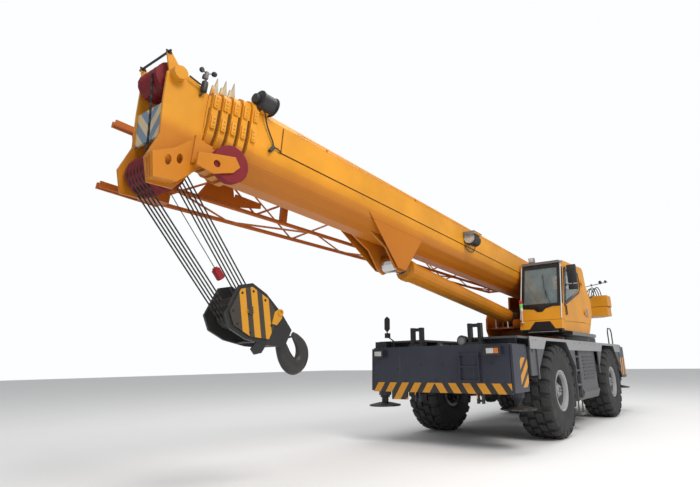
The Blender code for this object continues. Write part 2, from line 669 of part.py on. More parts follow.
def side_ladder(side):
    """Rails, rungs and the lower step of the ladder in front of the tank."""
    def across(inner, outer):
        return sorted((side * (DECK_HALF_WIDTH - inner), side * (DECK_HALF_WIDTH - outer)))

    first, last, pitch = LADDER_STEPS
    bars = [block((x - 0.02, x + 0.02), across(0.15, 0.07), (first - 0.02, DECK_TOP - DECK_SHEET + 0.01))
            for x in (LADDER_X[0] + 0.01, LADDER_X[1] - 0.01)]
    count = round((last - first) / pitch) + 1
    heights = [first - pitch] + [first + pitch * step for step in range(count)]
    bars += [block(LADDER_X, across(0.16, 0.05), (z, z + 0.03)) for z in heights]
    bars += [block((x - 0.008, x + 0.008), across(0.12, 0.09), (first - pitch + 0.02, first + 0.02))
             for x in (LADDER_X[0] + 0.03, LADDER_X[1] - 0.03)]
    return bars


def engine_hood(finish):
    """Open-bottomed cover on the rear deck, slotted at the back."""
    base = DECK_TOP + GAP
    line = [(-4.52, base), (-4.56, 2.09), (-5.32, 2.09), (-5.40, 2.27), (-6.15, 2.27), (-6.27, 2.18), (-6.27, base)]
    shell = plate(line, (-0.95, 0.95))
    inner = [(-4.55, 1.90), (-4.58, 2.065), (-5.34, 2.065), (-5.42, 2.245), (-6.14, 2.245), (-6.245, 2.165),
             (-6.245, 1.90)]
    shell = cut(shell, plate(inner, (-0.925, 0.925)))
    slots = [block((x, x + 0.05), (-1.0, 1.0), (2.05, 2.20)) for x in (-5.55 - 0.13 * i for i in range(5))]
    return place(cut(shell, *slots), "engine_hood", finish)


# Slewing ring and upper works
def gear_outline(centre, root, tip, teeth):
    points = []
    for tooth in range(teeth):
        for share, radius in ((0.0, root), (0.28, root), (0.40, tip), (0.88, tip)):
            angle = 2 * math.pi * (tooth + share) / teeth
            points.append((centre[0] + radius * math.cos(angle), centre[1] + radius * math.sin(angle)))
    return points


def turntable(finish):
    """Bed plate, two side plates with the boom foot ears, and the lift cylinder's foot."""
    bed = rod((SLEW_X, 0, UPPER_BOTTOM), (SLEW_X, 0, UPPER_BOTTOM + BED_PLATE), 0.95, 24)
    race = rod((SLEW_X, 0, UPPER_BOTTOM - 0.05), (SLEW_X, 0, UPPER_BOTTOM + 0.02), RING_RADIUS - 0.06, 24)
    tongue = block((-5.0, -1.25), (-SIDE_PLATE_Y - 0.02, SIDE_PLATE_Y + 0.02),
                   (UPPER_BOTTOM + 0.25, UPPER_BOTTOM + 0.30))
    rear_tie = block((-6.23, -6.18), (-SIDE_PLATE_Y - 0.02, SIDE_PLATE_Y + 0.02), (2.55, 3.0))
    plinth = block((-3.7, -1.9), (-0.47, 0.47), (UPPER_BOTTOM + 0.04, UPPER_BOTTOM + 0.27))
    outline = [(-1.25, 2.13), (-1.12, 2.32), (-1.14, 2.60), (-1.28, 2.80), (-1.52, 2.90), (-2.3, 2.98),
               (-2.74, 3.0), (-2.78, 3.34), (-3.9, 3.44), (-4.20, 3.58), (-4.50, 3.66), (-4.78, 3.56), (-5.15, 3.10), (-6.23, 3.04), (-6.23, 2.52), (-5.25, 2.52),
               (-4.9, 2.31), (-4.0, 2.13)]
    pin_hole = circle((FOOT_X, FOOT_Z), pin_bore(BOOM_PIN), 12)
    parts = [tongue, plinth, rear_tie]
    reel = (-1.30, 2.44)
    parts.append(rod((reel[0], 0.25, reel[1]), (reel[0], SIDE_PLATE_Y + 0.01, reel[1]), 0.045, 8))
    parts.append(rod((reel[0] + 0.12, 0.25, reel[1]), (reel[0] + 0.12, 0.44, reel[1]), 0.12, 12))
    for side in (-1, 1):
        span = sorted((side * SIDE_PLATE_Y, side * (SIDE_PLATE_Y + SIDE_PLATE)))
        parts.append(plate(outline, span, holes=[pin_hole]))
        x, z = LIFT_FOOT
        cheek = [(x - 0.45, 2.33), (x + 0.25, 2.33), (x + 0.18, z + 0.08), (x + 0.08, z + 0.18), (x - 0.08, z + 0.18),
                 (x - 0.24, z + 0.06)]
        inner = EYE_HALF_WIDTH + BEARING_GAP
        parts.append(plate(cheek, sorted((side * inner, side * (inner + 0.05))), holes=[circle(LIFT_FOOT, pin_bore(LIFT_PIN), 12)]))
    return place(weld(bed, race, *parts), "turntable", finish, "slew_axis")


def counterweight(finish):
    """Two stacked slabs, the lower one drawn in, with a shadow line between them."""
    def slab(width, tail, z):
        line = [(-6.23 - GAP, width), (tail + 0.40, width), (tail, width - 0.38)]
        return plate(line + [(x, -y) for x, y in reversed(line)], z, "XY")
    upper = slab(COUNTERWEIGHT_HALF_WIDTH, TAIL_X, (3.225, 3.58))
    lower = slab(COUNTERWEIGHT_HALF_WIDTH - 0.03, TAIL_X + 0.02, (2.93, 3.215))
    joint = slab(COUNTERWEIGHT_HALF_WIDTH - 0.06, TAIL_X + 0.05, (3.20, 3.24))
    return place(weld(upper, lower, joint), "counterweight", finish, "slew_axis")


def winch(name, x, z, radius, finish):
    half = SIDE_PLATE_Y - BEARING_GAP
    drum = [(0.0, -half), (0.10, -half), (0.10, -half + 0.06), (radius, -half + 0.06), (radius, -half + 0.08),
            (radius * 0.8, -half + 0.08), (radius * 0.8, half - 0.08), (radius, half - 0.08),
            (radius, half - 0.06), (0.10, half - 0.06), (0.10, half), (0.0, half)]
    return place(turned(drum, (x, 0, z), "Y", 14), name, finish, "slew_axis")


# Cab: side outline points run from the front bottom corner up and back
CAB_RIGHT = SIDE_PLATE_Y + SIDE_PLATE + 0.01
CAB_LEFT = 1.56
CAB_MIDDLE = (CAB_RIGHT + CAB_LEFT) / 2
CAB_WALL = 0.045
CAB_PILLAR = 0.08
CAB_FLOOR = 2.22
CAB_SIDE = [(-0.80, CAB_FLOOR), (-0.98, 2.82), (-1.28, 3.86), (-1.42, 3.98), (-3.22, 4.03), (-3.34, 3.96),
            (-3.44, 3.55), (-3.78, 3.14), (-3.74, 2.76), (-3.30, CAB_FLOOR + 0.06), (-3.20, CAB_FLOOR)]
SCREEN_Y = (CAB_RIGHT + CAB_PILLAR, CAB_LEFT - CAB_PILLAR)
SCREEN_Z = (2.84, 3.80)
DOOR_LINE = [(-1.10, 2.44), (-1.10, 2.86), (-1.40, 3.84), (-2.92, 3.90), (-2.92, 2.50)]
DOOR_WINDOW = [(-1.24, 2.84), (-1.50, 3.74), (-2.72, 3.79), (-2.80, 3.45), (-2.62, 3.30)]
RIGHT_WINDOW = [(-1.24, 2.84), (-1.50, 3.74), (-3.05, 3.79), (-3.12, 3.30)]
DOOR_AXIS = (-2.955, 1.590)


def front_x(z, depth=0.0):
    """Where the raked windscreen wall stands at a height, moved back by a depth."""
    low, high = CAB_SIDE[1], CAB_SIDE[2]
    return low[0] + (z - low[1]) * (high[0] - low[0]) / (high[1] - low[1]) - depth


def cab_shell(finish):
    """Hollow cab with its window and door openings, and the fixed halves of the door hinges."""
    shell = plate(CAB_SIDE, (CAB_RIGHT, CAB_LEFT))
    shell = cut(shell, plate(inset(CAB_SIDE, CAB_WALL), (CAB_RIGHT + CAB_WALL, CAB_LEFT - CAB_WALL)))
    windscreen = block((-1.6, -0.5), SCREEN_Y, SCREEN_Z)
    rear_window = block((-3.75, -3.30), (SCREEN_Y[0] + 0.06, SCREEN_Y[1] - 0.06), (3.52, 3.90))
    door_way = plate(inset(DOOR_LINE, -RUNNING_GAP), (CAB_LEFT - 0.10, CAB_LEFT + 0.10))
    side_window = plate(RIGHT_WINDOW, (CAB_RIGHT - 0.05, CAB_RIGHT + 0.10))
    shell = cut(shell, windscreen, rear_window, door_way, side_window)
    hinges = []
    for z in (2.70, 3.50):
        hinges.append(rod((*DOOR_AXIS, z), (*DOOR_AXIS, z + 0.06), 0.016, 10))
        hinges.append(block((-3.03, -2.962), (CAB_LEFT - 0.02, 1.60), (z, z + 0.06)))
    return place(weld(shell, *hinges, *cab_lamps()), "cab_shell", finish, "slew_axis")


def cab_lamps():
    """Visor strip and work lamp at the roof's front edge, and the load lights on their mast."""
    visor = block((-1.42, -1.25), (CAB_RIGHT + 0.03, CAB_LEFT - 0.03), (3.90, 3.965))
    stalk = rod((-1.46, 0.77, 3.95), (-1.46, 0.77, 4.02), 0.018, 8)
    lamp = block((-1.50, -1.42), (0.70, 0.84), (4.01, 4.13))
    x, y = front_x(2.46) + 0.06, CAB_RIGHT + 0.065
    foot = block((x - 0.12, x + 0.02), (y - 0.02, y + 0.02), (2.42, 2.45))
    mast = rod((x, y, 2.43), (x, y, 2.72), 0.012, 8)
    lights = rod((x, y, 2.70), (x, y, 2.98), 0.032, 8)
    tie = block((front_x(2.90) - 0.02, x), (y - 0.008, y + 0.008), (2.89, 2.91))
    return [visor, stalk, lamp, foot, mast, lights, tie]


def cab_door(finish, glass_finish):
    """Door leaf as thick as the wall, with its window cut, moving hinge halves and handle."""
    leaf = plate(DOOR_LINE, (CAB_LEFT - CAB_WALL + 0.003, CAB_LEFT + 0.003), holes=[DOOR_WINDOW])
    parts = []
    for z in (2.70, 3.50):
        parts.append(rod((*DOOR_AXIS, z + 0.06 + BEARING_GAP), (*DOOR_AXIS, z + 0.12), 0.016, 10))
        knuckle_z = (z + 0.06 + BEARING_GAP, z + 0.12)
        parts.append(block((-2.945, -2.88), (CAB_LEFT + RUNNING_GAP, 1.60), knuckle_z))
        parts.append(block((-2.918, -2.88), (CAB_LEFT - 0.02, 1.58), knuckle_z))
    handle = block((-1.28, -1.24), (CAB_LEFT - 0.01, CAB_LEFT + 0.03), (2.62, 2.80))
    place(weld(leaf, *parts, handle), "cab_door", finish, "door_axis")
    pane = plate(inset(DOOR_WINDOW, GAP), (CAB_LEFT - 0.025, CAB_LEFT - 0.019))
    place(pane, "cab_door_glass", glass_finish, "door_axis")


def cab_glass(glass):
    low, high = SCREEN_Z[0] + GAP, SCREEN_Z[1] - GAP
    line = [(front_x(low, 0.012), low), (front_x(high, 0.012), high), (front_x(high, 0.020), high),
            (front_x(low, 0.020), low)]
    place(plate(line, (SCREEN_Y[0] + GAP, SCREEN_Y[1] - GAP)), "windscreen", glass, "slew_axis")
    side = plate(inset(RIGHT_WINDOW, GAP), (CAB_RIGHT + 0.015, CAB_RIGHT + 0.021))
    place(side, "cab_right_glass", glass, "slew_axis")


def cab_inside(fabric, plastic):
    half = 0.24
    cushion = block((-2.55, -2.05), (CAB_MIDDLE - half, CAB_MIDDLE + half), (2.72, 2.86))
    back = plate([(-2.50, 2.80), (-2.60, 3.42), (-2.74, 3.42), (-2.66, 2.80)],
                 (CAB_MIDDLE - half + 0.02, CAB_MIDDLE + half - 0.02))
    stand = block((-2.45, -2.15), (CAB_MIDDLE - 0.16, CAB_MIDDLE + 0.16), (CAB_FLOOR + CAB_WALL + GAP, 2.74))
    place(weld(cushion, back, stand), "operator_seat", fabric, "slew_axis")
    desk = plate([(-1.12, CAB_FLOOR + CAB_WALL + GAP), (-1.20, 2.70), (-1.42, 2.78), (-1.46, 2.66),
                  (-1.34, CAB_FLOOR + CAB_WALL + GAP)], (CAB_MIDDLE - 0.36, CAB_MIDDLE + 0.36))
    place(desk, "control_console", plastic, "slew_axis")


def cab_platform(finish):
    """Bracket that carries the cab beside the turntable, with the side step under the door."""
    arm = block((-3.15, -0.95), (SIDE_PLATE_Y + SIDE_PLATE + GAP, 1.50), (UPPER_BOTTOM + BED_PLATE + GAP, CAB_FLOOR - GAP))
    step = block((-3.20, -1.05), (1.48, 1.72), (CAB_FLOOR - 0.11, CAB_FLOOR - 0.03))
    return place(weld(arm, step), "cab_platform", finish, "slew_axis")


# Boom sections share one half outline, moved inwards for each section
BOOM_HALF = [(0.0, BOOM_TOP), (0.34, BOOM_TOP), (0.42, BOOM_TOP - 0.045), (BOOM_HALF_WIDTH, BOOM_TOP - 0.12),
             (BOOM_HALF_WIDTH, 0.16), (0.43, 0.02), (0.36, -0.12), (0.25, -0.22), (0.12, BOOM_BOTTOM),
             (0.0, BOOM_BOTTOM)]


def boom_outline(section, depth=0.0):
    return inset(mirrored(BOOM_HALF[1:-1]), section * SECTION_STEP + depth)


def section_end(section):
    return BASE_LENGTH + SECTION_SPACING * section


def boom_section(section, finish):
    """Hollow section with a collar at its front, where pads carry the next section."""
    tail = BOOM_TAIL if section == 0 else 0.25 + 0.2 * section
    end = section_end(section)
    outer, inner = boom_outline(section), boom_outline(section, BOOM_WALL)
    tube = plate(outer, (tail, end), "YZ", holes=[inner])
    collar_back = end - 0.09
    if section > 0:
        collar_back = section_end(section - 1) + RUNNING_GAP
    collar = plate(inset(outer, -0.045), (collar_back, end - 0.002), "YZ", holes=[inset(outer, BOOM_WALL / 2)])
    parts = [collar]
    if section > 1:
        top = BOOM_TOP - section * SECTION_STEP + 0.045
        middle = (collar_back + end) / 2
        fin = [(middle - 0.035, top - 0.01), (middle + 0.035, top - 0.01), (middle + 0.012, top + 0.17),
               (middle - 0.012, top + 0.17)]
        parts.append(plate(fin, (0.20, 0.225)))
    if section < SECTION_COUNT - 1:
        seat = section * SECTION_STEP + SECTION_STEP - BEARING_GAP
        wall = section * SECTION_STEP + BOOM_WALL / 2
        parts.append(block((end - 0.5, end - 0.1), (-0.07, 0.07), (BOOM_BOTTOM + wall, BOOM_BOTTOM + seat)))
        parts.append(block((end - 0.5, end - 0.1), (-0.20, 0.20), (BOOM_TOP - seat, BOOM_TOP - wall)))
    return tube, parts


def boom_base(finish):
    tube, parts = boom_section(0, finish)
    for side in (-1, 1):
        doubler = [(-0.30, 0.19), (11.45, 0.19), (11.45, 0.56), (-0.30, 0.56)]
        parts.append(plate(doubler, sorted((side * (BOOM_HALF_WIDTH - 0.005), side * (BOOM_HALF_WIDTH + 0.012)))))
        u, w = LIFT_EYE
        top = BOOM_BOTTOM + 0.037
        lug = [(u - 0.52, top), (u + 0.92, top), (u + 0.47, w + 0.17), (u + 0.18, w - 0.13), (u + 0.02, w - 0.19),
               (u - 0.14, w - 0.11), (u - 0.19, w + 0.15)]
        inner = EYE_HALF_WIDTH + RUNNING_GAP
        parts.append(plate(lug, sorted((side * inner, side * (inner + 0.04)))))
        parts.append(gusset(side))
        parts.append(block((u - 0.08, u + 0.14), sorted((side * (inner + 0.03), side * 0.262)), (w - 0.12, w - 0.02)))
        foot = circle((0.0, 0.0), 0.17, 12)
        parts.append(plate(foot, sorted((side * 0.42, side * (SIDE_PLATE_Y - BEARING_GAP)))))
        parts.append(rod((0, side * 0.40, 0), (0, side * (SIDE_PLATE_Y + SIDE_PLATE + 0.01), 0), BOOM_PIN, 12))
    skin, outer = BOOM_HALF_WIDTH - BOOM_WALL / 2, BOOM_HALF_WIDTH + 0.145
    u, w = WORK_LAMP
    parts.append(block((u - 0.10, u + 0.06), (skin, outer - 0.02), (w - 0.05, w + 0.05)))
    parts.append(rod((u - 0.13, outer, w), (u + 0.15, outer, w), 0.115, 10))
    parts.append(block((u - 0.15, u + 0.21), (skin, outer + 0.13), (w + 0.10, w + 0.135)))
    u, w = CABLE_REEL
    outer = BOOM_HALF_WIDTH + 0.05
    parts.append(block((u - 0.06, u + 0.06), (outer - 0.068, outer), (w - 0.14, w)))
    parts.append(rod((u - 0.11, outer, w), (u + 0.11, outer, w), 0.12, 12))
    parts.append(rod((u + 0.10, outer - 0.02, w + 0.01), (u + 0.17, outer - 0.02, w + 0.01), 0.06, 8))
    for u in (3.6, 10.4):
        near = JIB_STATIONS[0][1] + JIB_SEAT + GAP
        parts.append(block((u - 0.05, u + 0.05), (near, 0.026 - BOOM_HALF_WIDTH), (-0.07, 0.10)))
    return place(weld(tube, *parts), "boom_base", finish, "luff_axis", local=True)


def gusset(side):
    """Three-cornered plate from the boom's side down to the lift lug, leaning inwards."""
    u, w = LIFT_EYE
    outline = [(u - 0.53, 0.0), (u + 1.47, 0.0), (u + 0.16, w - 0.31), (u - 0.08, w - 0.31)]
    made = plate(outline, (-0.006, 0.006))
    lean = Matrix.Translation((0, side * (BOOM_HALF_WIDTH - 0.002), 0.15)) @ Matrix.Rotation(side * -0.2165, 4, "X")
    made.data.transform(lean)
    return made


# Lattice jib, stowed on the boom's right side: (u, near y, far y, low w, high w)
JIB_STATIONS = [(12.2, -0.62, -1.30, -0.36, 0.53), (2.1, -0.62, -0.95, -0.02, 0.36)]
JIB_BAYS = 8
JIB_CHORD = 0.034
JIB_BRACE = 0.017
JIB_SEAT = 0.04


def jib_corner(share, corner):
    first, last = JIB_STATIONS
    near, low = corner
    values = [a + (b - a) * share for a, b in zip(first, last)]
    return Vector((values[0], values[1] if near else values[2], values[3] if low else values[4]))


def lattice_jib(finish):
    """Four tapering chords with zigzag braces on each side and forks at the wide end."""
    corners = [(True, True), (True, False), (False, False), (False, True)]
    bars = []
    for corner in corners:
        bars.append(rod(jib_corner(0, corner), jib_corner(1, corner), JIB_CHORD, 6))
    for first, second in zip(corners, corners[1:] + corners[:1]):
        for bay in range(JIB_BAYS):
            ends = (first, second) if bay % 2 else (second, first)
            bars.append(rod(jib_corner(bay / JIB_BAYS, ends[0]), jib_corner((bay + 1) / JIB_BAYS, ends[1]),
                            JIB_BRACE, 4))
        for share in (0.0, 1.0):
            bars.append(rod(jib_corner(share, first), jib_corner(share, second), JIB_CHORD * 0.9, 4))
    for corner in corners[2:]:
        root = jib_corner(0, corner)
        for offset in (-0.045, 0.045):
            w = (root.z - 0.04, root.z + 0.04)
            bars.append(block((root.x - 0.15, 12.86), (root.y + offset - 0.014, root.y + offset + 0.014), w))
        bars.append(block((root.x - 0.15, root.x + 0.15), (root.y - 0.05, root.y + 0.05), (root.z - 0.035, root.z + 0.035)))
    for u in (3.6, 10.4):
        share = (JIB_STATIONS[0][0] - u) / (JIB_STATIONS[0][0] - JIB_STATIONS[1][0])
        low, high = jib_corner(share, (True, True)), jib_corner(share, (True, False))
        bars.append(block((u - 0.05, u + 0.05), (low.y - JIB_SEAT, low.y + JIB_SEAT), (low.z, high.z)))
    near, far = JIB_STATIONS[0][1:3]
    extras = [block((12.17, 12.74), (-0.99, -0.80), (-0.50, -0.30)),
              rod((12.60, far, JIB_STATIONS[0][4]), (12.36, far, JIB_STATIONS[0][3]), 0.02, 6)]
    for line in ([(11.92, -0.35), (11.30, -0.33), (11.38, -0.04), (11.74, -0.02)],
                 [(11.32, -0.12), (10.86, -0.12), (10.86, -0.20), (11.34, -0.32)]):
        extras.append(plate(line, (near - 0.013, near + 0.011)))
    made = weld(weld_many(bars[0], bars[1:]), *extras)
    return place(made, "lattice_jib", finish, "luff_axis", local=True)


# Boom head, in boom coordinates
HEAD_PLATE_Y = 0.30
HEAD_PLATE = 0.03
HEAD_PIN = 0.045
GUIDE_PIN = 0.03
TOP_SHEAVE_AXIS = (12.93, 0.60)
HEAD_LINE = [(12.49, -0.06), (12.49, 0.56), (TOP_SHEAVE_AXIS[0] - 0.19, TOP_SHEAVE_AXIS[1] + 0.08),
             (TOP_SHEAVE_AXIS[0] + 0.11, TOP_SHEAVE_AXIS[1]), (13.02, 0.24), (12.98, -0.18),
             (SHEAVE_AXIS[0] + 0.29, SHEAVE_AXIS[1] + 0.01), (SHEAVE_AXIS[0] + 0.21, SHEAVE_AXIS[1] - 0.25),
             (SHEAVE_AXIS[0] - 0.07, SHEAVE_AXIS[1] - 0.23), (SHEAVE_AXIS[0] - 0.29, SHEAVE_AXIS[1] + 0.09)]
TOP_SHEAVE_RADIUS = 0.19
TOP_SHEAVES = 4
GUIDE_AXIS = (12.22, -0.31)
GUIDE_RADIUS = 0.23
GUIDE_Y = 0.51
GUIDE_WIDTH = 0.09


def last_section(finish):
    """Last boom section with its head: two side plates, cross plates and the sheaves' pins."""
    outer = HEAD_PLATE_Y
    tube, parts = boom_section(SECTION_COUNT - 1, finish)
    end = section_end(SECTION_COUNT - 1)
    parts.append(plate(boom_outline(SECTION_COUNT - 1, 0.004), (end - 0.02, end + 0.03), "YZ"))
    for side in (-1, 1):
        parts.append(plate(HEAD_LINE, sorted((side * (outer - HEAD_PLATE), side * outer))))
        arm = sorted((side * (outer - 0.025), side * (outer - 0.005)))
        u, w = TOP_SHEAVE_AXIS
        parts.append(plate([(u - 0.15, w - 0.02), (u + 0.07, w - 0.05), (u + 0.17, w + 0.26), (u + 0.11, w + 0.26)], arm))
    parts.append(plate([(12.93, -0.18), (12.96, -0.18), (13.0, 0.22), (12.97, 0.22)], (-outer + 0.01, outer - 0.01)))
    parts.append(block((12.50, 12.53), (-outer + 0.01, outer - 0.01), (-0.29, 0.10)))
    for u, w in (SHEAVE_AXIS, TOP_SHEAVE_AXIS):
        parts.append(rod((u, -outer - 0.02, w), (u, outer + 0.02, w), HEAD_PIN, 10))
    u, w = TOP_SHEAVE_AXIS[0] + 0.14, TOP_SHEAVE_AXIS[1] + 0.24
    parts.append(rod((u, -outer - 0.04, w), (u, outer + 0.04, w), 0.014, 6))
    parts.append(rod((TOP_SHEAVE_AXIS[0], outer - 0.01, TOP_SHEAVE_AXIS[1]),
                     (TOP_SHEAVE_AXIS[0], outer + 0.10, TOP_SHEAVE_AXIS[1]), 0.085, 10))
    parts += head_bracket(outer)
    u, w = GUIDE_AXIS
    arm = [(12.66, -0.10), (12.66, -0.44), (u, w - 0.07), (u - 0.06, w - 0.03), (u - 0.06, w + 0.03), (u, w + 0.07),
           (12.50, -0.16)]
    parts.append(plate(arm, (0.43, GUIDE_Y - GUIDE_WIDTH / 2 - GAP)))
    parts.append(block((12.53, 12.64), (outer - 0.01, 0.44), (-0.36, -0.16)))
    parts.append(rod((u, 0.44, w), (u, GUIDE_Y + GUIDE_WIDTH / 2 + 0.02, w), GUIDE_PIN, 8))
    return place(weld(tube, *parts), "boom_section_5", finish, "extend_5", local=True)


def head_bracket(outer):
    """Ribbed bracket on the left of the lower sheaves, with three slots, and the guide sheave's outer plate."""
    side = (outer + 0.12, outer + 0.14)
    line = [(13.08, -0.47), (13.02, -0.74), (12.76, -0.70), (12.50, -0.42), (12.42, -0.14), (12.66, -0.14), (12.86, -0.34)]
    slots = [circle(centre, 0.036, 8) for centre in ((12.90, -0.50), (12.78, -0.44), (12.62, -0.32))]
    slots = [[(a, w + (b - w) * 1.7) for a, b in slot]
             for slot, w in zip(slots, (-0.50, -0.44, -0.32))]
    shapes = [plate(line, side, holes=slots)]
    shapes.append(plate([(12.76, -0.70), (13.02, -0.74), (13.01, -0.72), (12.77, -0.68)], (outer - 0.01, side[0] + 0.01)))
    shapes.append(plate([(13.02, -0.74), (13.08, -0.47), (13.06, -0.47), (13.0, -0.72)], (outer - 0.01, side[0] + 0.01)))
    for y in (outer + 0.02, outer + 0.065, outer + 0.11):
        shapes.append(plate([(13.03, -0.72), (13.085, -0.49), (13.06, -0.49), (13.01, -0.72)], (y, y + 0.014)))
    shapes.append(block((12.42, 12.58), (outer - 0.01, side[0] + 0.01), (-0.18, -0.14)))
    shapes.append(block((12.56, 12.62), (side[0], GUIDE_Y + GUIDE_WIDTH / 2 + 0.02), (-0.46, -0.38)))
    cheek = [(12.66, -0.34), (12.66, -0.49), (12.44, -0.52), (12.20, -0.42), (12.12, -0.32), (12.20, -0.22), (12.40, -0.27)]
    reach = GUIDE_Y + GUIDE_WIDTH / 2
    shapes.append(plate(cheek, (reach + 0.004, reach + 0.024), holes=[circle((12.42, -0.39), 0.045, 10)]))
    return shapes


def grooved(radius, count, pitch, bore, middle=0.0):
    """Profile of several grooved sheaves side by side: (radius, along)."""
    start = middle - pitch * count / 2
    profile = [(bore, start)]
    for i in range(count):
        left = start + pitch * i
        profile += [(radius, left), (radius - GROOVE_DEPTH, left + pitch / 2)]
    return profile + [(radius, start + pitch * count), (bore, start + pitch * count)]


def sheave_pack(name, profile, axis, finish, parent):
    made = turned(profile, (axis[0], 0, axis[1]), "Y", SHEAVE_STEPS, closed=True)
    return place(made, name, finish, parent, local=True)


# Lift cylinder, along X from its foot pin
def lift_geometry():
    cos, sin = math.cos(BOOM_RISE), math.sin(BOOM_RISE)
    eye_x = FOOT_X + LIFT_EYE[0] * cos - LIFT_EYE[1] * sin
    eye_z = FOOT_Z + LIFT_EYE[0] * sin + LIFT_EYE[1] * cos
    across, up = eye_x - LIFT_FOOT[0], eye_z - LIFT_FOOT[1]
    return math.hypot(across, up), math.atan2(up, across)


def lift_cylinder(finish, chrome):
    length, _ = lift_geometry()
    mouth = length - 0.42
    eye = rod((0, -EYE_HALF_WIDTH, 0), (0, EYE_HALF_WIDTH, 0), EYE_RADIUS, 16)
    neck = rod((0, 0, 0), (0.40, 0, 0), EYE_RADIUS - 0.01, 12)
    tube = rod((0.36, 0, 0), (mouth, 0, 0), BARREL_RADIUS, 16)
    head = rod((mouth - 0.14, 0, 0), (mouth, 0, 0), BARREL_RADIUS + 0.02, 16)
    bore = rod((0.40, 0, 0), (mouth - 0.12, 0, 0), ROD_RADIUS + 0.03, 16)
    gland = rod((0.40, 0, 0), (mouth + 0.1, 0, 0), ROD_RADIUS + BEARING_GAP, 16)
    pin = rod((0, -EYE_HALF_WIDTH - 0.055, 0), (0, EYE_HALF_WIDTH + 0.055, 0), LIFT_PIN, 12)
    place(cut(weld(eye, neck, tube, head, pin), bore, gland), "lift_cylinder_barrel", finish, "lift_foot", local=True)
    shaft = rod((0.9, 0, 0), (length - 0.08, 0, 0), ROD_RADIUS, 16)
    end = rod((length, -EYE_HALF_WIDTH, 0), (length, EYE_HALF_WIDTH, 0), EYE_RADIUS, 16)
    place(weld(shaft, end), "lift_cylinder_rod", chrome, "lift_rod", local=True)


# Hook block, in its own frame: origin on its sheaves' pin, hook down -Z
def hook_block(finish):
    """Cheek plates, the pin through the sheaves, and the yoke that the hook's shank turns in."""
    half = BLOCK_SHEAVES * SHEAVE_PITCH / 2 + 0.01
    low = -YOKE_DROP - YOKE_HALF
    cheek_line = [(-0.19, 0.28), (0.19, 0.28), (0.31, 0.13), (0.31, -0.12), (0.23, -0.44), (0.12, low),
                  (-0.12, low), (-0.23, -0.44), (-0.31, -0.12), (-0.31, 0.13)]
    cover_line = [(-0.15, 0.25), (0.15, 0.25), (0.26, 0.12), (0.26, -0.16), (0.16, -0.42), (-0.16, -0.42),
                  (-0.26, -0.16), (-0.26, 0.12)]
    cheeks = [plate(cheek_line, sorted((side * half, side * (half + 0.035)))) for side in (-1, 1)]
    covers = [plate(cover_line, sorted((side * (half + 0.03), side * (half + 0.055)))) for side in (-1, 1)]
    pin = rod((0, -half - 0.07, 0), (0, half + 0.07, 0), BLOCK_PIN, 12)
    yoke = block((-0.11, 0.11), (-half - 0.01, half + 0.01), (low, -YOKE_DROP + YOKE_HALF))
    ties = [rod((x, -half - 0.01, z), (x, half + 0.01, z), 0.022, 6) for x, z in ((-0.24, -0.30), (0.24, -0.30))]
    tab = plate([(0.20, -0.30), (0.37, -0.26), (0.40, -0.34), (0.34, -0.42), (0.20, -0.44)], (half + 0.002, half + 0.03))
    body = weld(cheeks[0], pin, yoke, cheeks[1], *covers, *ties, tab)
    body = cut(body, rod((0, 0, low - 0.1), (0, 0, -YOKE_DROP + YOKE_HALF + 0.1), pin_bore(SHANK_RADIUS), 12))
    return place(body, "hook_block", finish, "block_swing", local=True)


def hook(finish):
    """Shank with a collar over and under the yoke, and a tapering hook swept round its throat."""
    eye = -YOKE_DROP
    top = -YOKE_DROP + YOKE_HALF + BEARING_GAP
    shank = rod((0, 0, eye - 0.20), (0, 0, top + 0.05), SHANK_RADIUS, 12)
    collar = rod((0, 0, top), (0, 0, top + 0.05), 0.075, 12)
    centre = (0.0, eye - HOOK_DROP)
    radius = HOOK_RADIUS
    rings = []
    steps = 10
    bm = bmesh.new()
    for i in range(steps + 1):
        share = i / steps
        angle = math.radians(100 - 290 * share)
        thick = 0.055 + 0.035 * math.sin(math.pi * min(share * 1.25, 1.0)) - 0.045 * max(0.0, share - 0.7) / 0.3
        middle = Vector((centre[0] + radius * math.cos(angle), 0, centre[1] + radius * math.sin(angle)))
        out = Vector((math.cos(angle), 0, math.sin(angle)))
        ring = [bm.verts.new(middle + out * thick * math.cos(t) * 1.1 + Vector((0, 0.8 * thick * math.sin(t), 0)))
                for t in (2 * math.pi * k / 6 for k in range(6))]
        rings.append(ring)
    for here, after in zip(rings, rings[1:]):
        for k in range(6):
            bm.faces.new((here[k], here[(k + 1) % 6], after[(k + 1) % 6], after[k]))
    bm.faces.new(rings[0])
    bm.faces.new(list(reversed(rings[-1])))
    bend = outward(from_bmesh(bm))
    latch = plate([(0.065, eye - 0.20), (0.085, eye - 0.20), (0.155, centre[1] + 0.07), (0.135, centre[1] + 0.06)], (-0.02, 0.02))
    place(weld(shank, collar, bend, latch), "hook", finish, "hook_swivel", local=True)


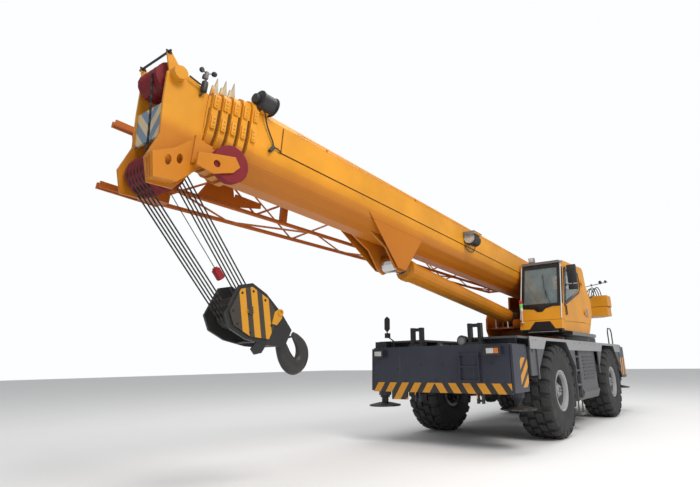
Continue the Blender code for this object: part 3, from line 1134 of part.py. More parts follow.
def hoist_rope(finish):
    """One rope reeved over alternate head and block sheaves, lying in their grooves."""
    turn = math.pi / (SHEAVE_STEPS / 2)

    def lie(radius):
        return radius - GROOVE_DEPTH + ROPE_RADIUS + 2 * BEARING_GAP

    block_lie = lie(BLOCK_SHEAVE_RADIUS)
    points = []
    for fall in range(BLOCK_SHEAVES):
        head_y = (fall - BLOCK_SHEAVES / 2) * SHEAVE_PITCH
        block_y = (fall - (BLOCK_SHEAVES - 1) / 2) * SHEAVE_PITCH
        for y, radius, z, way in ((head_y, lie(SHEAVE_RADIUS), 0.0, 1), (block_y, block_lie, -ROPE_DROP, -1)):
            start = SHEAVE_STEPS // 4 if not points else 0
            for k in range(start, SHEAVE_STEPS // 2 + 1):
                angle = turn * k
                points.append((way * -radius * math.cos(angle), y, z + way * radius * math.sin(angle)))
    last_y = BLOCK_SHEAVES / 2 * SHEAVE_PITCH
    for k in range(SHEAVE_STEPS // 4 + 1):
        angle = turn * k
        points.append((-lie(SHEAVE_RADIUS) * math.cos(angle), last_y, lie(SHEAVE_RADIUS) * math.sin(angle)))
    place(pipe(points, ROPE_RADIUS, 0), "hoist_rope", finish, "hook_swing", local=True)


def head_turn():
    """Turn from boom coordinates so that the ropes lean back to the machine as stored."""
    return Matrix.Rotation(BOOM_RISE, 4, "Y") @ Matrix.Rotation(ROPE_LEAN, 4, "Y")


def make_frames():
    frame("crane_origin")
    bpy.data.objects["crane_origin"].location = (ORIGIN_X, 0, 0)
    for axle_name, x in (("front", 0.0), ("rear", -WHEELBASE)):
        for side_name, side in (("left", 1), ("right", -1)):
            key = axle_name + "_" + side_name
            frame("steer_" + key, "crane_origin", (x, side * KINGPIN_Y, TYRE_RADIUS))
            frame("wheel_" + key, "steer_" + key, (0, side * (TRACK / 2 - KINGPIN_Y), 0))
            frame("outrigger_" + key, "crane_origin", (x, 0, BEAM_BOTTOM))
            frame("jack_" + key, "outrigger_" + key)
    frame("slew_axis", "crane_origin", (SLEW_X, 0, 0))
    frame("door_axis", "slew_axis", (DOOR_AXIS[0] - SLEW_X, DOOR_AXIS[1], 0))
    luff_turn = Matrix.Rotation(-BOOM_RISE, 4, "Y")
    frame("luff_axis", "slew_axis", (FOOT_X - SLEW_X, 0, FOOT_Z), luff_turn)
    before = "luff_axis"
    for section in range(2, SECTION_COUNT + 1):
        before = frame("extend_%d" % section, before)
    frame("hook_swing", before, (SHEAVE_AXIS[0], 0, SHEAVE_AXIS[1]), head_turn())
    frame("block_swing", "hook_swing", (0, 0, -ROPE_DROP), Matrix.Rotation(BLOCK_LEAN, 4, "Y"))
    frame("hook_swivel", "block_swing")
    _, lift_turn = lift_geometry()
    frame("lift_foot", "slew_axis", (LIFT_FOOT[0] - SLEW_X, 0, LIFT_FOOT[1]), Matrix.Rotation(-lift_turn, 4, "Y"))
    frame("lift_rod", "lift_foot")


def main():
    clear_scene()
    make_frames()
    yellow = material("crane_yellow", (0.86, 0.47, 0.04))
    orange = material("jib_orange", (0.72, 0.26, 0.02))
    slate = material("slate_grey", (0.09, 0.10, 0.15))
    grey = material("mid_grey", (0.32, 0.33, 0.34))
    dark = material("dark_grey", (0.03, 0.03, 0.035), 0.6)
    black = material("block_black", (0.02, 0.02, 0.022))
    maroon = material("sheave_maroon", (0.33, 0.02, 0.04))
    silver = material("rim_silver", (0.55, 0.55, 0.56), 0.35, 0.6)
    rubber = material("tyre_rubber", (0.035, 0.035, 0.037), 0.85)
    chrome = material("cylinder_rod", (0.75, 0.75, 0.75), 0.15, 1.0)
    glass = material("cab_glass", (0.30, 0.36, 0.38), 0.05)
    fabric = material("seat_fabric", (0.04, 0.04, 0.045), 0.9)
    rope_steel = material("rope_steel", (0.05, 0.05, 0.05), 0.5, 0.5)

    chassis_frame(slate)
    for end, face, top, way in (("front", FRONT_FACE_X, FRONT_BOX_TOP, 1), ("rear", REAR_FACE_X, REAR_BOX_TOP, -1)):
        outrigger_box("outrigger_box_" + end, face, top, way, slate)
        for side_name, side, slot in (("left", 1, 1), ("right", -1, 0)):
            outrigger(end + "_" + side_name, face, top, way, side, slot, slate, dark)
    for end, x in (("front", 0.0), ("rear", -WHEELBASE)):
        axle("axle_" + end, x, dark)
        for side_name, side in (("left", 1), ("right", -1)):
            key = end + "_" + side_name
            knuckle("knuckle_" + key, "steer_" + key, dark, side)
            rim("rim_" + key, "wheel_" + key, silver, side)
            tyre("tyre_" + key, "wheel_" + key, rubber)
    for side_name, side in (("left", 1), ("right", -1)):
        deck("deck_" + side_name, side, grey)
        side_tank("tank_" + side_name, side, grey)
    engine_hood(grey)
    place(block((-6.15, -4.62), (-0.40, 0.40), (1.60 + GAP, 2.04)), "engine_block", dark)

    ring = plate(gear_outline((SLEW_X, 0), RING_RADIUS - 0.03, RING_RADIUS + 0.02, RING_TEETH),
                 (RING_BOTTOM, UPPER_BOTTOM - 0.05 - BEARING_GAP), "XY", holes=[circle((SLEW_X, 0), 0.66, 16)])
    place(ring, "slewing_ring_gear", dark)
    turntable(yellow)
    counterweight(yellow)
    winch("winch_main", -5.45, 2.80, 0.24, dark)
    winch("winch_auxiliary", -5.93, 2.80, 0.20, dark)
    cab_shell(yellow)
    cab_door(yellow, glass)
    cab_glass(glass)
    cab_inside(fabric, dark)
    cab_platform(grey)

    boom_base(yellow)
    for section in range(1, SECTION_COUNT - 1):
        tube, parts = boom_section(section, yellow)
        number = section + 1
        place(weld(tube, *parts), "boom_section_%d" % number, yellow, "extend_%d" % number, local=True)
    last_section(yellow)
    lattice_jib(orange)
    sheave_pack("head_sheaves_lower", grooved(SHEAVE_RADIUS, HEAD_SHEAVES, SHEAVE_PITCH, pin_bore(HEAD_PIN, SHEAVE_STEPS)),
                (0.0, 0.0), maroon, "hook_swing")
    sheave_pack("head_sheaves_upper", grooved(TOP_SHEAVE_RADIUS, TOP_SHEAVES, 0.10, pin_bore(HEAD_PIN, SHEAVE_STEPS)),
                TOP_SHEAVE_AXIS, maroon, "extend_5")
    sheave_pack("guide_sheave", grooved(GUIDE_RADIUS, 1, GUIDE_WIDTH, pin_bore(GUIDE_PIN, SHEAVE_STEPS), GUIDE_Y), GUIDE_AXIS,
                maroon, "extend_5")
    lift_cylinder(yellow, chrome)
    sheave_pack("block_sheaves", grooved(BLOCK_SHEAVE_RADIUS, BLOCK_SHEAVES, SHEAVE_PITCH,
                                         pin_bore(BLOCK_PIN, SHEAVE_STEPS)), (0.0, -ROPE_DROP), black, "hook_swing")
    hook_block(black)
    hook(black)
    hoist_rope(rope_steel)


main()
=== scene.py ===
"""Rough terrain crane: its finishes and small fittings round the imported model. Metres, +X forward, +Z up."""
import math

import bmesh
import bpy
from bpy.props import FloatProperty, FloatVectorProperty, IntProperty, PointerProperty
from mathutils import Matrix, Vector


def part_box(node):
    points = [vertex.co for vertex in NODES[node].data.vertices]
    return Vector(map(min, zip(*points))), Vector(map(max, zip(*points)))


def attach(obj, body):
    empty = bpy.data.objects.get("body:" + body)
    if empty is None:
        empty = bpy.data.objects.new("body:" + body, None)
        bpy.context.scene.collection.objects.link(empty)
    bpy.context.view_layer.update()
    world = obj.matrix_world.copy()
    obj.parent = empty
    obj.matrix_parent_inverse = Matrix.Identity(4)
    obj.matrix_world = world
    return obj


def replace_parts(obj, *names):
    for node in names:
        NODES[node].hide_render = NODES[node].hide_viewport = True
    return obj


bl_info = {
    "name": "Rough Terrain Crane Dressing",
    "version": (1, 1, 0),
    "blender": (4, 5, 0),
    "location": "View3D > Sidebar > Crane",
    "description": "Paint, tyres, lamps, hoses and fittings of a rough terrain crane",
    "category": "Object",
}

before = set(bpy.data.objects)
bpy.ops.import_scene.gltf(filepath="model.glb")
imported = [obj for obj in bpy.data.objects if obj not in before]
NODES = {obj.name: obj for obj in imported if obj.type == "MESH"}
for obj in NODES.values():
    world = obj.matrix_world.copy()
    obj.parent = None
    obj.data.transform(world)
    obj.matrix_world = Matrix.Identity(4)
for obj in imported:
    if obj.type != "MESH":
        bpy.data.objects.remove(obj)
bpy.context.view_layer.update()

# Places that the finishes and fittings share with the model; at() measures from the front axle, ORIGIN_X
TYRE_LOW, TYRE_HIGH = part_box("tyre_front_left")
TYRE_RADIUS = (TYRE_HIGH.z - TYRE_LOW.z) / 2
WHEEL_Y = (TYRE_HIGH.y + TYRE_LOW.y) / 2
REAR_LOW, REAR_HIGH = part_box("tyre_rear_left")
AXLE_X = {"front": (TYRE_LOW.x + TYRE_HIGH.x) / 2, "rear": (REAR_LOW.x + REAR_HIGH.x) / 2}
ORIGIN_X = AXLE_X["front"]
FRONT_FACE = ORIGIN_X + 2.38
CORNERS = [(end, side) for end in ("front", "rear") for side in ("left", "right")]
SIDES = {"left": 1, "right": -1}
REAR_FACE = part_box("outrigger_box_rear")[0].x + 0.05
REAR_BOX_TOP = 1.95
BOOM_RISE = math.atan(0.0556)
BOOM_FOOT = Vector((ORIGIN_X - 4.50, 0.0, 3.40))
BOOM_HALF_WIDTH = 0.45
BOOM_TOP = 0.70
BOOM_LENGTH = 12.0
FOLD_LOW, FOLD_HIGH = -0.12, 0.16
COLLAR_STEP, COLLAR_INSET, COLLAR_PROUD = 0.12, 0.032, 0.045
ROPE_LEAN = math.radians(41.0)
BLOCK_LEAN = math.radians(64.3)
FALL_LENGTH = 1.90
CAB_RIGHT, CAB_LEFT = 0.535, 1.56
FRONT_BOX_TOP = 1.85
BOX_HALF = 1.534


def at(x, y, z):
    """A point given from the ground under the front axle."""
    return Vector((x + ORIGIN_X, y, z))


def boom_point(along, across, up):
    """A point given along the boom from its foot pin, across it, and square to it."""
    cos, sin = math.cos(BOOM_RISE), math.sin(BOOM_RISE)
    return Vector((BOOM_FOOT.x + along * cos - up * sin, across, BOOM_FOOT.z + along * sin + up * cos))


ROPE_LINE = Vector((-math.sin(ROPE_LEAN), 0.0, -math.cos(ROPE_LEAN)))
SHEAVE_AXIS = boom_point(12.79, 0.0, -0.51)
BLOCK_PIN = SHEAVE_AXIS + ROPE_LINE * FALL_LENGTH
BLOCK_ALONG = Vector((-math.sin(BLOCK_LEAN), 0.0, -math.cos(BLOCK_LEAN)))
BLOCK_ACROSS = Vector((math.cos(BLOCK_LEAN), 0.0, -math.sin(BLOCK_LEAN)))


# Settings that a user may change
class CraneColours(bpy.types.PropertyGroup):
    body: FloatVectorProperty(
        name="Body paint", description="Yellow of the boom, cab and counterweight",
        subtype="COLOR", size=3, min=0.0, max=1.0, default=(0.74, 0.31, 0.018))
    # Painted shade: the shade colour is the darker orange painted on the boom's lower panels and on the
    # turntable, where they lie in shade
    shade: FloatVectorProperty(
        name="Deep paint", description="Deeper orange of the boom's underside and the turntable",
        subtype="COLOR", size=3, min=0.0, max=1.0, default=(0.44, 0.115, 0.004))
    jib: FloatVectorProperty(
        name="Jib paint", description="Orange of the lattice jib",
        subtype="COLOR", size=3, min=0.0, max=1.0, default=(0.44, 0.105, 0.006))
    carrier: FloatVectorProperty(
        name="Carrier paint", description="Blue grey of the outrigger boxes and frame",
        subtype="COLOR", size=3, min=0.0, max=1.0, default=(0.030, 0.034, 0.052))
    deck: FloatVectorProperty(
        name="Deck paint", description="Grey of the decks and tanks",
        subtype="COLOR", size=3, min=0.0, max=1.0, default=(0.085, 0.087, 0.094))
    sheave: FloatVectorProperty(
        name="Sheave paint", description="Dark red of the sheaves",
        subtype="COLOR", size=3, min=0.0, max=1.0, default=(0.19, 0.008, 0.014))


class CraneSizes(bpy.types.PropertyGroup):
    edge: FloatProperty(name="Edge radius", description="Rounding of painted edges", unit="LENGTH",
                        default=0.008, min=0.001, max=0.05)
    dust_height: FloatProperty(name="Dust height", description="Height up to which road dust shows",
                               unit="LENGTH", default=1.1, min=0.0, max=4.0)
    hose: FloatProperty(name="Hose radius", description="Radius of the hydraulic hoses", unit="LENGTH",
                        default=0.016, min=0.005, max=0.05)
    lug: FloatProperty(name="Lug height", description="Depth of the tyre tread", unit="LENGTH",
                       default=0.050, min=0.01, max=0.08)
    lugs: IntProperty(name="Lugs", description="Tread lugs round one side of a tyre", subtype="UNSIGNED",
                      default=22, min=12, max=40)


def colours():
    return bpy.context.scene.crane_colours


def sizes():
    return bpy.context.scene.crane_sizes


# Shader values written as plain sums
class Value:
    """A shader socket that can be added, multiplied and compared like a number."""

    def __init__(self, finish, socket):
        self.finish = finish
        self.socket = socket

    def math(self, operation, *others):
        values = [self, *others]
        return self.finish.node("ShaderNodeMath", {"operation": operation},
                                {i: value for i, value in enumerate(values)})

    def __add__(self, other):
        return self.math("ADD", other)

    def __sub__(self, other):
        return self.math("SUBTRACT", other)

    def __mul__(self, other):
        return self.math("MULTIPLY", other)

    __radd__ = __add__
    __rmul__ = __mul__

    def __rsub__(self, other):
        return self.finish.node("ShaderNodeMath", {"operation": "SUBTRACT"}, {0: other, 1: self})

    def __gt__(self, other):
        return self.math("GREATER_THAN", other)

    def __lt__(self, other):
        return self.math("LESS_THAN", other)

    def __abs__(self):
        return self.math("ABSOLUTE")

    def either(self, other):
        """The larger of two shares."""
        return self.math("MAXIMUM", other)

    def within(self, low, high):
        """1 between two limits."""
        return (self > low) * (self < high)

    def fade(self, low, high):
        """0 below low, 1 above high, and smooth between."""
        settings = {"interpolation_type": "SMOOTHSTEP", "clamp": True}
        limits = {"Value": self, "From Min": low, "From Max": high, "To Min": 0.0, "To Max": 1.0}
        return self.finish.node("ShaderNodeMapRange", settings, limits)

    def bars(self, pitch, share=0.5):
        """1 on bars that take a share of each pitch."""
        return (self * (1.0 / pitch)).math("FRACT") < share


class Finish:
    """One material: its tree, its shader and short ways to add nodes."""

    def __init__(self, name):
        self.material = bpy.data.materials.new(name)
        self.material.use_nodes = True
        self.tree = self.material.node_tree
        self.shader = self.tree.nodes["Principled BSDF"]
        self.place = self.node("ShaderNodeTexCoord", output="Object")
        self.cache = {}

    def node(self, kind, settings=None, inputs=None, output=0):
        made = self.tree.nodes.new(kind)
        for key, value in (settings or {}).items():
            setattr(made, key, value)
        for key, value in (inputs or {}).items():
            if isinstance(value, Value):
                self.tree.links.new(value.socket, made.inputs[key])
            else:
                made.inputs[key].default_value = value
        return Value(self, made.outputs[output])

    def axes(self):
        if "axes" not in self.cache:
            split = self.node("ShaderNodeSeparateXYZ", inputs={0: self.place}).socket.node
            self.cache["axes"] = [Value(self, socket) for socket in split.outputs]
        return self.cache["axes"]

    def measure(self, origin, direction):
        """Distance from a point along a direction in the XZ plane."""
        x, _, z = self.axes()
        return (x - origin.x) * direction.x + (z - origin.z) * direction.z

    def along_boom(self):
        cos, sin = math.cos(BOOM_RISE), math.sin(BOOM_RISE)
        return self.measure(BOOM_FOOT, Vector((cos, 0, sin))), self.measure(BOOM_FOOT, Vector((-sin, 0, cos)))

    def noise(self, scale, detail=4.0, rough=0.5, stretch=None):
        vector = self.place
        if stretch:
            vector = self.node("ShaderNodeVectorMath", {"operation": "MULTIPLY"}, {0: self.place, 1: stretch})
        return self.node("ShaderNodeTexNoise", {"noise_dimensions": "3D"},
                         {"Vector": vector, "Scale": scale, "Detail": detail, "Roughness": rough}, "Fac")

    def cells(self, scale):
        inputs = {"Vector": self.place, "Scale": scale}
        return self.node("ShaderNodeTexVoronoi", {"feature": "F1"}, inputs, "Distance")

    def mix(self, share, first, second):
        """Colours blended by a share; either may be a plain (r, g, b)."""
        def colour(value):
            return value if isinstance(value, Value) else (*value[:3], 1.0)
        made = self.tree.nodes.new("ShaderNodeMix")
        made.data_type = "RGBA"
        made.clamp_factor = True
        for index, value in ((0, share), (6, colour(first)), (7, colour(second))):
            if isinstance(value, Value):
                self.tree.links.new(value.socket, made.inputs[index])
            else:
                made.inputs[index].default_value = value
        return Value(self, made.outputs[2])

    def rounded(self, radius):
        """The surface direction with its sharp edges rounded."""
        return self.node("ShaderNodeBevel", {"samples": 4}, {"Radius": radius})

    def edges(self, rounded):
        """1 on sharp edges and 0 on flat faces."""
        true = self.node("ShaderNodeNewGeometry", output="Normal")
        dot = self.node("ShaderNodeVectorMath", {"operation": "DOT_PRODUCT"}, {0: rounded, 1: true}, "Value")
        return (1.0 - dot).fade(0.02, 0.20)

    def bump(self, height, distance, strength=1.0, normal=None):
        inputs = {"Height": height, "Distance": distance, "Strength": strength}
        if normal is not None:
            inputs["Normal"] = normal
        return self.node("ShaderNodeBump", inputs=inputs)

    def show(self, **sockets):
        """Set the shader's sockets, by their names with underscores."""
        for key, value in sockets.items():
            socket = self.shader.inputs[key.replace("_", " ")]
            if isinstance(value, Value):
                self.tree.links.new(value.socket, socket)
            elif isinstance(value, tuple) and len(value) == 3 and socket.type == "RGBA":
                socket.default_value = (*value, 1.0)
            else:
                socket.default_value = value
        return self.material


# Finishes
DUST = (0.30, 0.26, 0.20)
PRIMER = (0.12, 0.09, 0.07)
HAZARD_YELLOW = (0.62, 0.27, 0.018)
HAZARD_BLACK = (0.030, 0.028, 0.027)
GLOSS_BLACK = (0.012, 0.012, 0.014)
BLOCK_YELLOW = (0.60, 0.27, 0.016)
# Painted shade: dark orange for shade lines under panel edges and along creases
SHADE_LINE_ORANGE = (0.11, 0.030, 0.004)
IVORY = (0.62, 0.50, 0.30)
# Painted shade inside the wheel arches
ARCH_SHADE = (0.030, 0.030, 0.033)


def paint(name, colour, gloss=0.36, coat=0.06, wear=0.5, marks=None, dusty=0.45):
    """Sprayed paint: faint mottling, orange peel, chipped edges, dust low down. marks recolours places."""
    finish = Finish(name)
    rounded = finish.rounded(sizes().edge)
    _, _, z = finish.axes()
    broad = finish.noise(0.7, 5.0, 0.6)
    fine = finish.noise(14.0, 4.0, 0.65)
    streak = finish.noise(2.2, 3.0, 0.5, (6.0, 6.0, 0.35))
    base = finish.mix(broad.fade(0.30, 0.72), scaled(colour, 0.84), scaled(colour, 1.08, 0.003))
    if marks:
        base = marks(finish, base)
    base = finish.mix(streak.fade(0.60, 0.82) * 0.10, base, DUST)
    low = 1.0 - z.fade(0.15, sizes().dust_height)
    base = finish.mix(low * fine.fade(0.38, 0.66) * dusty, base, DUST)
    chips = finish.edges(rounded) * fine.fade(0.54, 0.64) * wear
    base = finish.mix(chips, base, PRIMER)
    peel = finish.noise(90.0, 2.0, 0.5)
    return finish.show(
        Base_Color=base, Roughness=gloss + fine.fade(0.35, 0.75) * 0.14 + low * 0.25,
        Coat_Weight=coat, Coat_Roughness=0.12, Specular_IOR_Level=0.30,
        Normal=finish.bump(peel, 0.0005, 0.4, rounded))


def hazard(finish, bars):
    """Black and yellow by a value that is 1 on the yellow bars."""
    return finish.mix(bars, HAZARD_BLACK, HAZARD_YELLOW)


def boom_marks(finish, base):
    """Painted shade: a dark line under the upper panel's lower and end edges, a fainter one along the bend,
    and the shade colour on the lower panels.
    """
    _, y, _ = finish.axes()
    along, up = finish.along_boom()
    # Painted shade: the lower panels blend towards the shade colour
    lower = 1.0 - up.fade(FOLD_LOW, FOLD_HIGH)
    base = finish.mix(lower * 0.75, base, tuple(colours().shade))
    # Painted shade: a dark line under the edges of the upper panel
    shade_lines = up.within(0.178, 0.192) * (abs(y) > 0.442) * along.within(-0.35, 11.50)
    shade_lines = shade_lines.either(along.within(11.45, 11.462) * up.within(0.18, 0.56) * (abs(y) > 0.44))
    # Painted shade: a fainter line along the bend of the lower panels
    bend = (abs(up + 0.105) < 0.004) * (abs(y) > 0.30)
    return finish.mix(shade_lines.either(bend * 0.4), base, SHADE_LINE_ORANGE)


def section_marks(finish, base):
    """Pale guide tips, painted shade in the gaps between the collars, and the shade colour painted on the
    lower panels.
    """
    _, y, _ = finish.axes()
    along, up = finish.along_boom()
    tips = (up > BOOM_TOP + 0.035) * y.within(0.19, 0.235)
    base = finish.mix(tips, base, IVORY)
    # Painted shade: the gaps between the collars are darkened where the openings lie in shade
    gaps = (along - BOOM_LENGTH).bars(COLLAR_STEP, 0.26) * along.within(BOOM_LENGTH, BOOM_LENGTH + 0.49)
    slots = gaps * up.within(-0.14, 0.40) * (abs(y) > 0.30)
    base = finish.mix(slots * 0.9, base, (0.060, 0.024, 0.008))
    # Painted shade: the lower panels blend towards the shade colour
    lower = 1.0 - up.fade(FOLD_LOW, FOLD_HIGH - 0.06)
    return finish.mix(lower * 0.6, base, tuple(colours().shade))


def head_marks(finish, base):
    """Chevrons on the plate between the head's side plates, and dark keeper rods."""
    _, y, _ = finish.axes()
    along, up = finish.along_boom()
    base = section_marks(finish, base)
    plate = (along > 12.915) * up.within(-0.19, 0.235) * (abs(y) < 0.268)
    bars = (up - abs(y) * 1.05 + 4.2).bars(0.28, 0.5)
    base = finish.mix(plate, base, finish.mix(bars, IVORY, (0.16, 0.24, 0.34)))
    rods = (along > 13.03) * (up > 0.815)
    return finish.mix(rods, base, (0.030, 0.022, 0.020))


def cab_marks(finish, base):
    """Painted shade along the crease line, black skirt and step panel, grey visor."""
    x, y, z = finish.axes()
    # Painted shade: a dark line along the crease
    base = finish.mix(z.within(2.470, 2.480) * 0.8, base, SHADE_LINE_ORANGE)
    ahead = x > ORIGIN_X - 1.0
    half = abs(y - 1.09)
    panel = (half < (0.17 + (2.46 - z) * 0.75)) * (z < 2.44) * ahead
    skirt = (z < 2.262) * ahead
    base = finish.mix(panel.either(skirt), base, GLOSS_BLACK)
    visor = (z > 3.885) * (x > ORIGIN_X - 1.435) * (z < 3.972)
    return finish.mix(visor, base, (0.16, 0.16, 0.165))


def weight_marks(finish, base):
    """Shadow line between the slabs."""
    _, _, z = finish.axes()
    return finish.mix(z.within(3.212, 3.228), base, (0.20, 0.020, 0.006))


def front_marks(finish, base):
    """Bars in two directions low on the front face, dark fittings on top."""
    x, y, z = finish.axes()
    band = z.within(0.90, 1.160) * x.within(FRONT_FACE - 0.004, FRONT_FACE + 0.004)
    chunk = (z < 0.985) * y.within(-1.08, -0.69) * (x > FRONT_FACE - 0.06)
    bars = (abs(y + 0.048) + z * 0.68 + 2.213).bars(0.30, 0.55)
    base = finish.mix(band.either(chunk), base, hazard(finish, bars))
    return finish.mix(z > FRONT_BOX_TOP + 0.005, base, GLOSS_BLACK)


def beam_marks(finish, base):
    """Bars on the outrigger's end plate."""
    x, y, z = finish.axes()
    ends = (abs(y) > 1.583) * z.within(1.08, 1.60) * (x < ORIGIN_X + 2.06)
    return finish.mix(ends, base, hazard(finish, (z + x * 0.8 + 10.0).bars(0.26, 0.6)))


def deck_marks(finish, base):
    """Lighter edges of the deck and its arches, and painted shade on the inner faces inside the arches."""
    _, y, z = finish.axes()
    base = finish.mix((abs(y) > 1.645) * (z > 1.76) * 0.85, base, (0.34, 0.34, 0.35))
    # Painted shade: the inner faces inside the arches are darkened
    inner = abs(y).within(0.8, 1.60) * z.within(1.22, 1.94)
    return finish.mix(inner * 0.55, base, ARCH_SHADE)


def rim_marks(finish, base):
    """Painted shade in the recess between the hub and the rim's inner edge."""
    x, y, z = finish.axes()
    away = abs(x - AXLE_X["front"]).math("MINIMUM", abs(x - AXLE_X["rear"]))
    radius = (away * away + (z - TYRE_RADIUS) * (z - TYRE_RADIUS)).math("SQRT")
    recess = radius.within(0.172, 0.330) * (abs(y) < WHEEL_Y + 0.26)
    # Painted shade: the dished recess is darkened
    base = finish.mix(recess * 0.88, base, (0.035, 0.035, 0.037))
    return finish.mix((radius < 0.05) * 0.85, base, (0.030, 0.030, 0.032))


def platform_marks(finish, base):
    """Black front and inner side below the cab's skirt."""
    x, y, _ = finish.axes()
    return finish.mix((x > ORIGIN_X - 1.06).either(y < 1.44), base, GLOSS_BLACK)


def tank_marks(finish, base):
    """Painted shade between the louvre blades on the tank's outer side."""
    x, y, z = finish.axes()
    field = x.within(ORIGIN_X - 3.09, ORIGIN_X - 2.09) * z.within(1.06, 1.66) * (abs(y) > 1.578)
    # Painted shade: dark bars in the openings between the louvre blades
    return finish.mix((z + 0.018).bars(0.085, 0.42) * field * 0.6, base, (0.02, 0.02, 0.022))


def block_marks(finish, base):
    """Yellow bars across the hook block's cover plates."""
    x, y, z = finish.axes()
    slant = x - z * 0.205 - ORIGIN_X - 6.313
    bars = (slant + 1.70).bars(0.17, 0.55) * slant.within(-0.02, 0.44)
    return finish.mix(abs(y) > 0.236, base, finish.mix(bars, (0.050, 0.040, 0.032), BLOCK_YELLOW))


def scaled(colour, factor, lift=0.0):
    """A colour made darker or lighter, and raised by a small amount."""
    return tuple(min(1.0, c * factor + lift) for c in colour)


def rubber(name):
    """Tyre rubber: fine grain with patches of dried dust."""
    finish = Finish(name)
    fine = finish.noise(30.0, 5.0, 0.65)
    broad = finish.noise(2.2, 4.0, 0.6)
    base = finish.mix(fine.fade(0.3, 0.75), (0.026, 0.026, 0.027), (0.048, 0.047, 0.047))
    base = finish.mix(broad.fade(0.50, 0.75) * 0.30, base, (0.10, 0.092, 0.082))
    grain = finish.noise(160.0, 3.0, 0.6)
    return finish.show(Base_Color=base, Roughness=0.60 + fine * 0.25, Specular_IOR_Level=0.32,
                       Normal=finish.bump(grain, 0.0012, 0.6))


def steel(name, colour=(0.055, 0.054, 0.055), rough=0.42, metal=0.6):
    """Bare or oiled steel, brighter on its edges: partly worn bare, partly a painted highlight."""
    finish = Finish(name)
    fine = finish.noise(24.0, 5.0, 0.7)
    base = finish.mix(fine.fade(0.35, 0.7), scaled(colour, 0.6), scaled(colour, 1.35))
    rounded = finish.rounded(sizes().edge * 0.6)
    # Brighter edges: partly wear, partly a painted highlight
    base = finish.mix(finish.edges(rounded) * 0.35, base, scaled(colour, 2.5, 0.02))
    return finish.show(Base_Color=base, Roughness=rough + fine * 0.18, Metallic=metal,
                       Normal=finish.bump(fine, 0.0008, 0.5, rounded))


def polished_rod(name):
    """Chromed rod with faint rings."""
    finish = Finish(name)
    rings = finish.noise(60.0, 2.0, 0.5, (8.0, 1.0, 1.0))
    base = finish.mix(rings.fade(0.4, 0.7), (0.62, 0.62, 0.61), (0.80, 0.80, 0.79))
    return finish.show(Base_Color=base, Roughness=0.10 + rings * 0.10, Metallic=1.0)


def window(name, tint=(0.20, 0.265, 0.275), clear=0.60):
    """Tinted glass with faint smears; its pale blue grey tint is partly the glass's own colour and partly a
    painted reflection.
    """
    finish = Finish(name)
    smear = finish.noise(5.0, 4.0, 0.6, (1.0, 1.0, 0.4))
    # Partly painted reflection: the pale tint stands in part for light reflected off the glass
    colour = finish.mix(smear.fade(0.3, 0.8), scaled(tint, 0.7), tint)
    return finish.show(Base_Color=colour, Roughness=0.03 + smear * 0.05, Alpha=clear + smear * 0.10,
                       Coat_Weight=1.0, Coat_Roughness=0.02, Specular_IOR_Level=0.8)


def cloth(name):
    """Woven seat cover."""
    finish = Finish(name)
    weave = finish.noise(420.0, 2.0, 0.5, (1.0, 1.0, 1.6))
    base = finish.mix(weave.fade(0.35, 0.65), (0.016, 0.016, 0.018), (0.050, 0.050, 0.054))
    return finish.show(Base_Color=base, Roughness=0.92, Sheen_Weight=0.3,
                       Normal=finish.bump(weave, 0.001, 0.8))


def plastic(name, colour=(0.022, 0.022, 0.023), gloss=0.42):
    """Moulded plastic with a fine grain."""
    finish = Finish(name)
    grain = finish.cells(260.0)
    fine = finish.noise(9.0, 4.0, 0.6)
    base = finish.mix(fine.fade(0.3, 0.7), scaled(colour, 0.7), scaled(colour, 1.5))
    return finish.show(Base_Color=base, Roughness=gloss + fine * 0.15, Normal=finish.bump(grain, 0.0006, 0.4))


def lens(name, colour, glow=0.0):
    """Ribbed lamp lens."""
    finish = Finish(name)
    ribs = finish.noise(120.0, 2.0, 0.5, (1.0, 1.0, 3.0))
    base = finish.mix(ribs.fade(0.35, 0.65), scaled(colour, 0.75), colour)
    return finish.show(Base_Color=base, Roughness=0.10 + ribs * 0.12, Coat_Weight=0.8, Coat_Roughness=0.03,
                       Emission_Color=base, Emission_Strength=glow, Normal=finish.bump(ribs, 0.001, 0.4))


def wire_rope(name):
    """Greased wire rope with its lay."""
    finish = Finish(name)
    x, _, z = finish.axes()
    lay = ((x * 0.6 + z) * 60.0).math("SINE")
    grease = finish.noise(7.0, 3.0, 0.6)
    base = finish.mix(lay.fade(-0.3, 0.8), (0.006, 0.006, 0.006), (0.036, 0.034, 0.032))
    base = finish.mix(grease.fade(0.45, 0.7) * 0.5, base, (0.006, 0.005, 0.005))
    return finish.show(Base_Color=base, Roughness=0.50, Metallic=0.3, Normal=finish.bump(lay, 0.002, 0.8))


FINISHES = {}


def finish_of(name, maker, *values, **named):
    """Each finish is made once and then shared."""
    if name not in FINISHES:
        FINISHES[name] = maker(name, *values, **named)
    return FINISHES[name]


def black_plastic():
    return finish_of("black_plastic", plastic)


def dark_paint():
    return finish_of("chassis_black", paint, (0.020, 0.020, 0.022), 0.45, 0.1, 0.7)


def body_paint():
    return finish_of("body_yellow", paint, tuple(colours().body))


def pale_trim():
    return finish_of("pale_trim", paint, (0.72, 0.70, 0.68), 0.35, 0.1, 0.3)


def fitting_grey():
    return finish_of("fitting_grey", paint, (0.20, 0.20, 0.205), 0.45, 0.05, 0.4)


def border_black():
    return finish_of("border_black", plastic, (0.010, 0.010, 0.011), 0.22)


def lamp_clear():
    return finish_of("lamp_clear", lens, (0.62, 0.62, 0.60))


def coat_nodes(material, names):
    """Give a finish to CAD nodes through their slots."""
    for name in names:
        node = NODES[name]
        for slot in node.material_slots:
            slot.material = material


# Modelling
SMOOTH_ANGLE = math.radians(35)


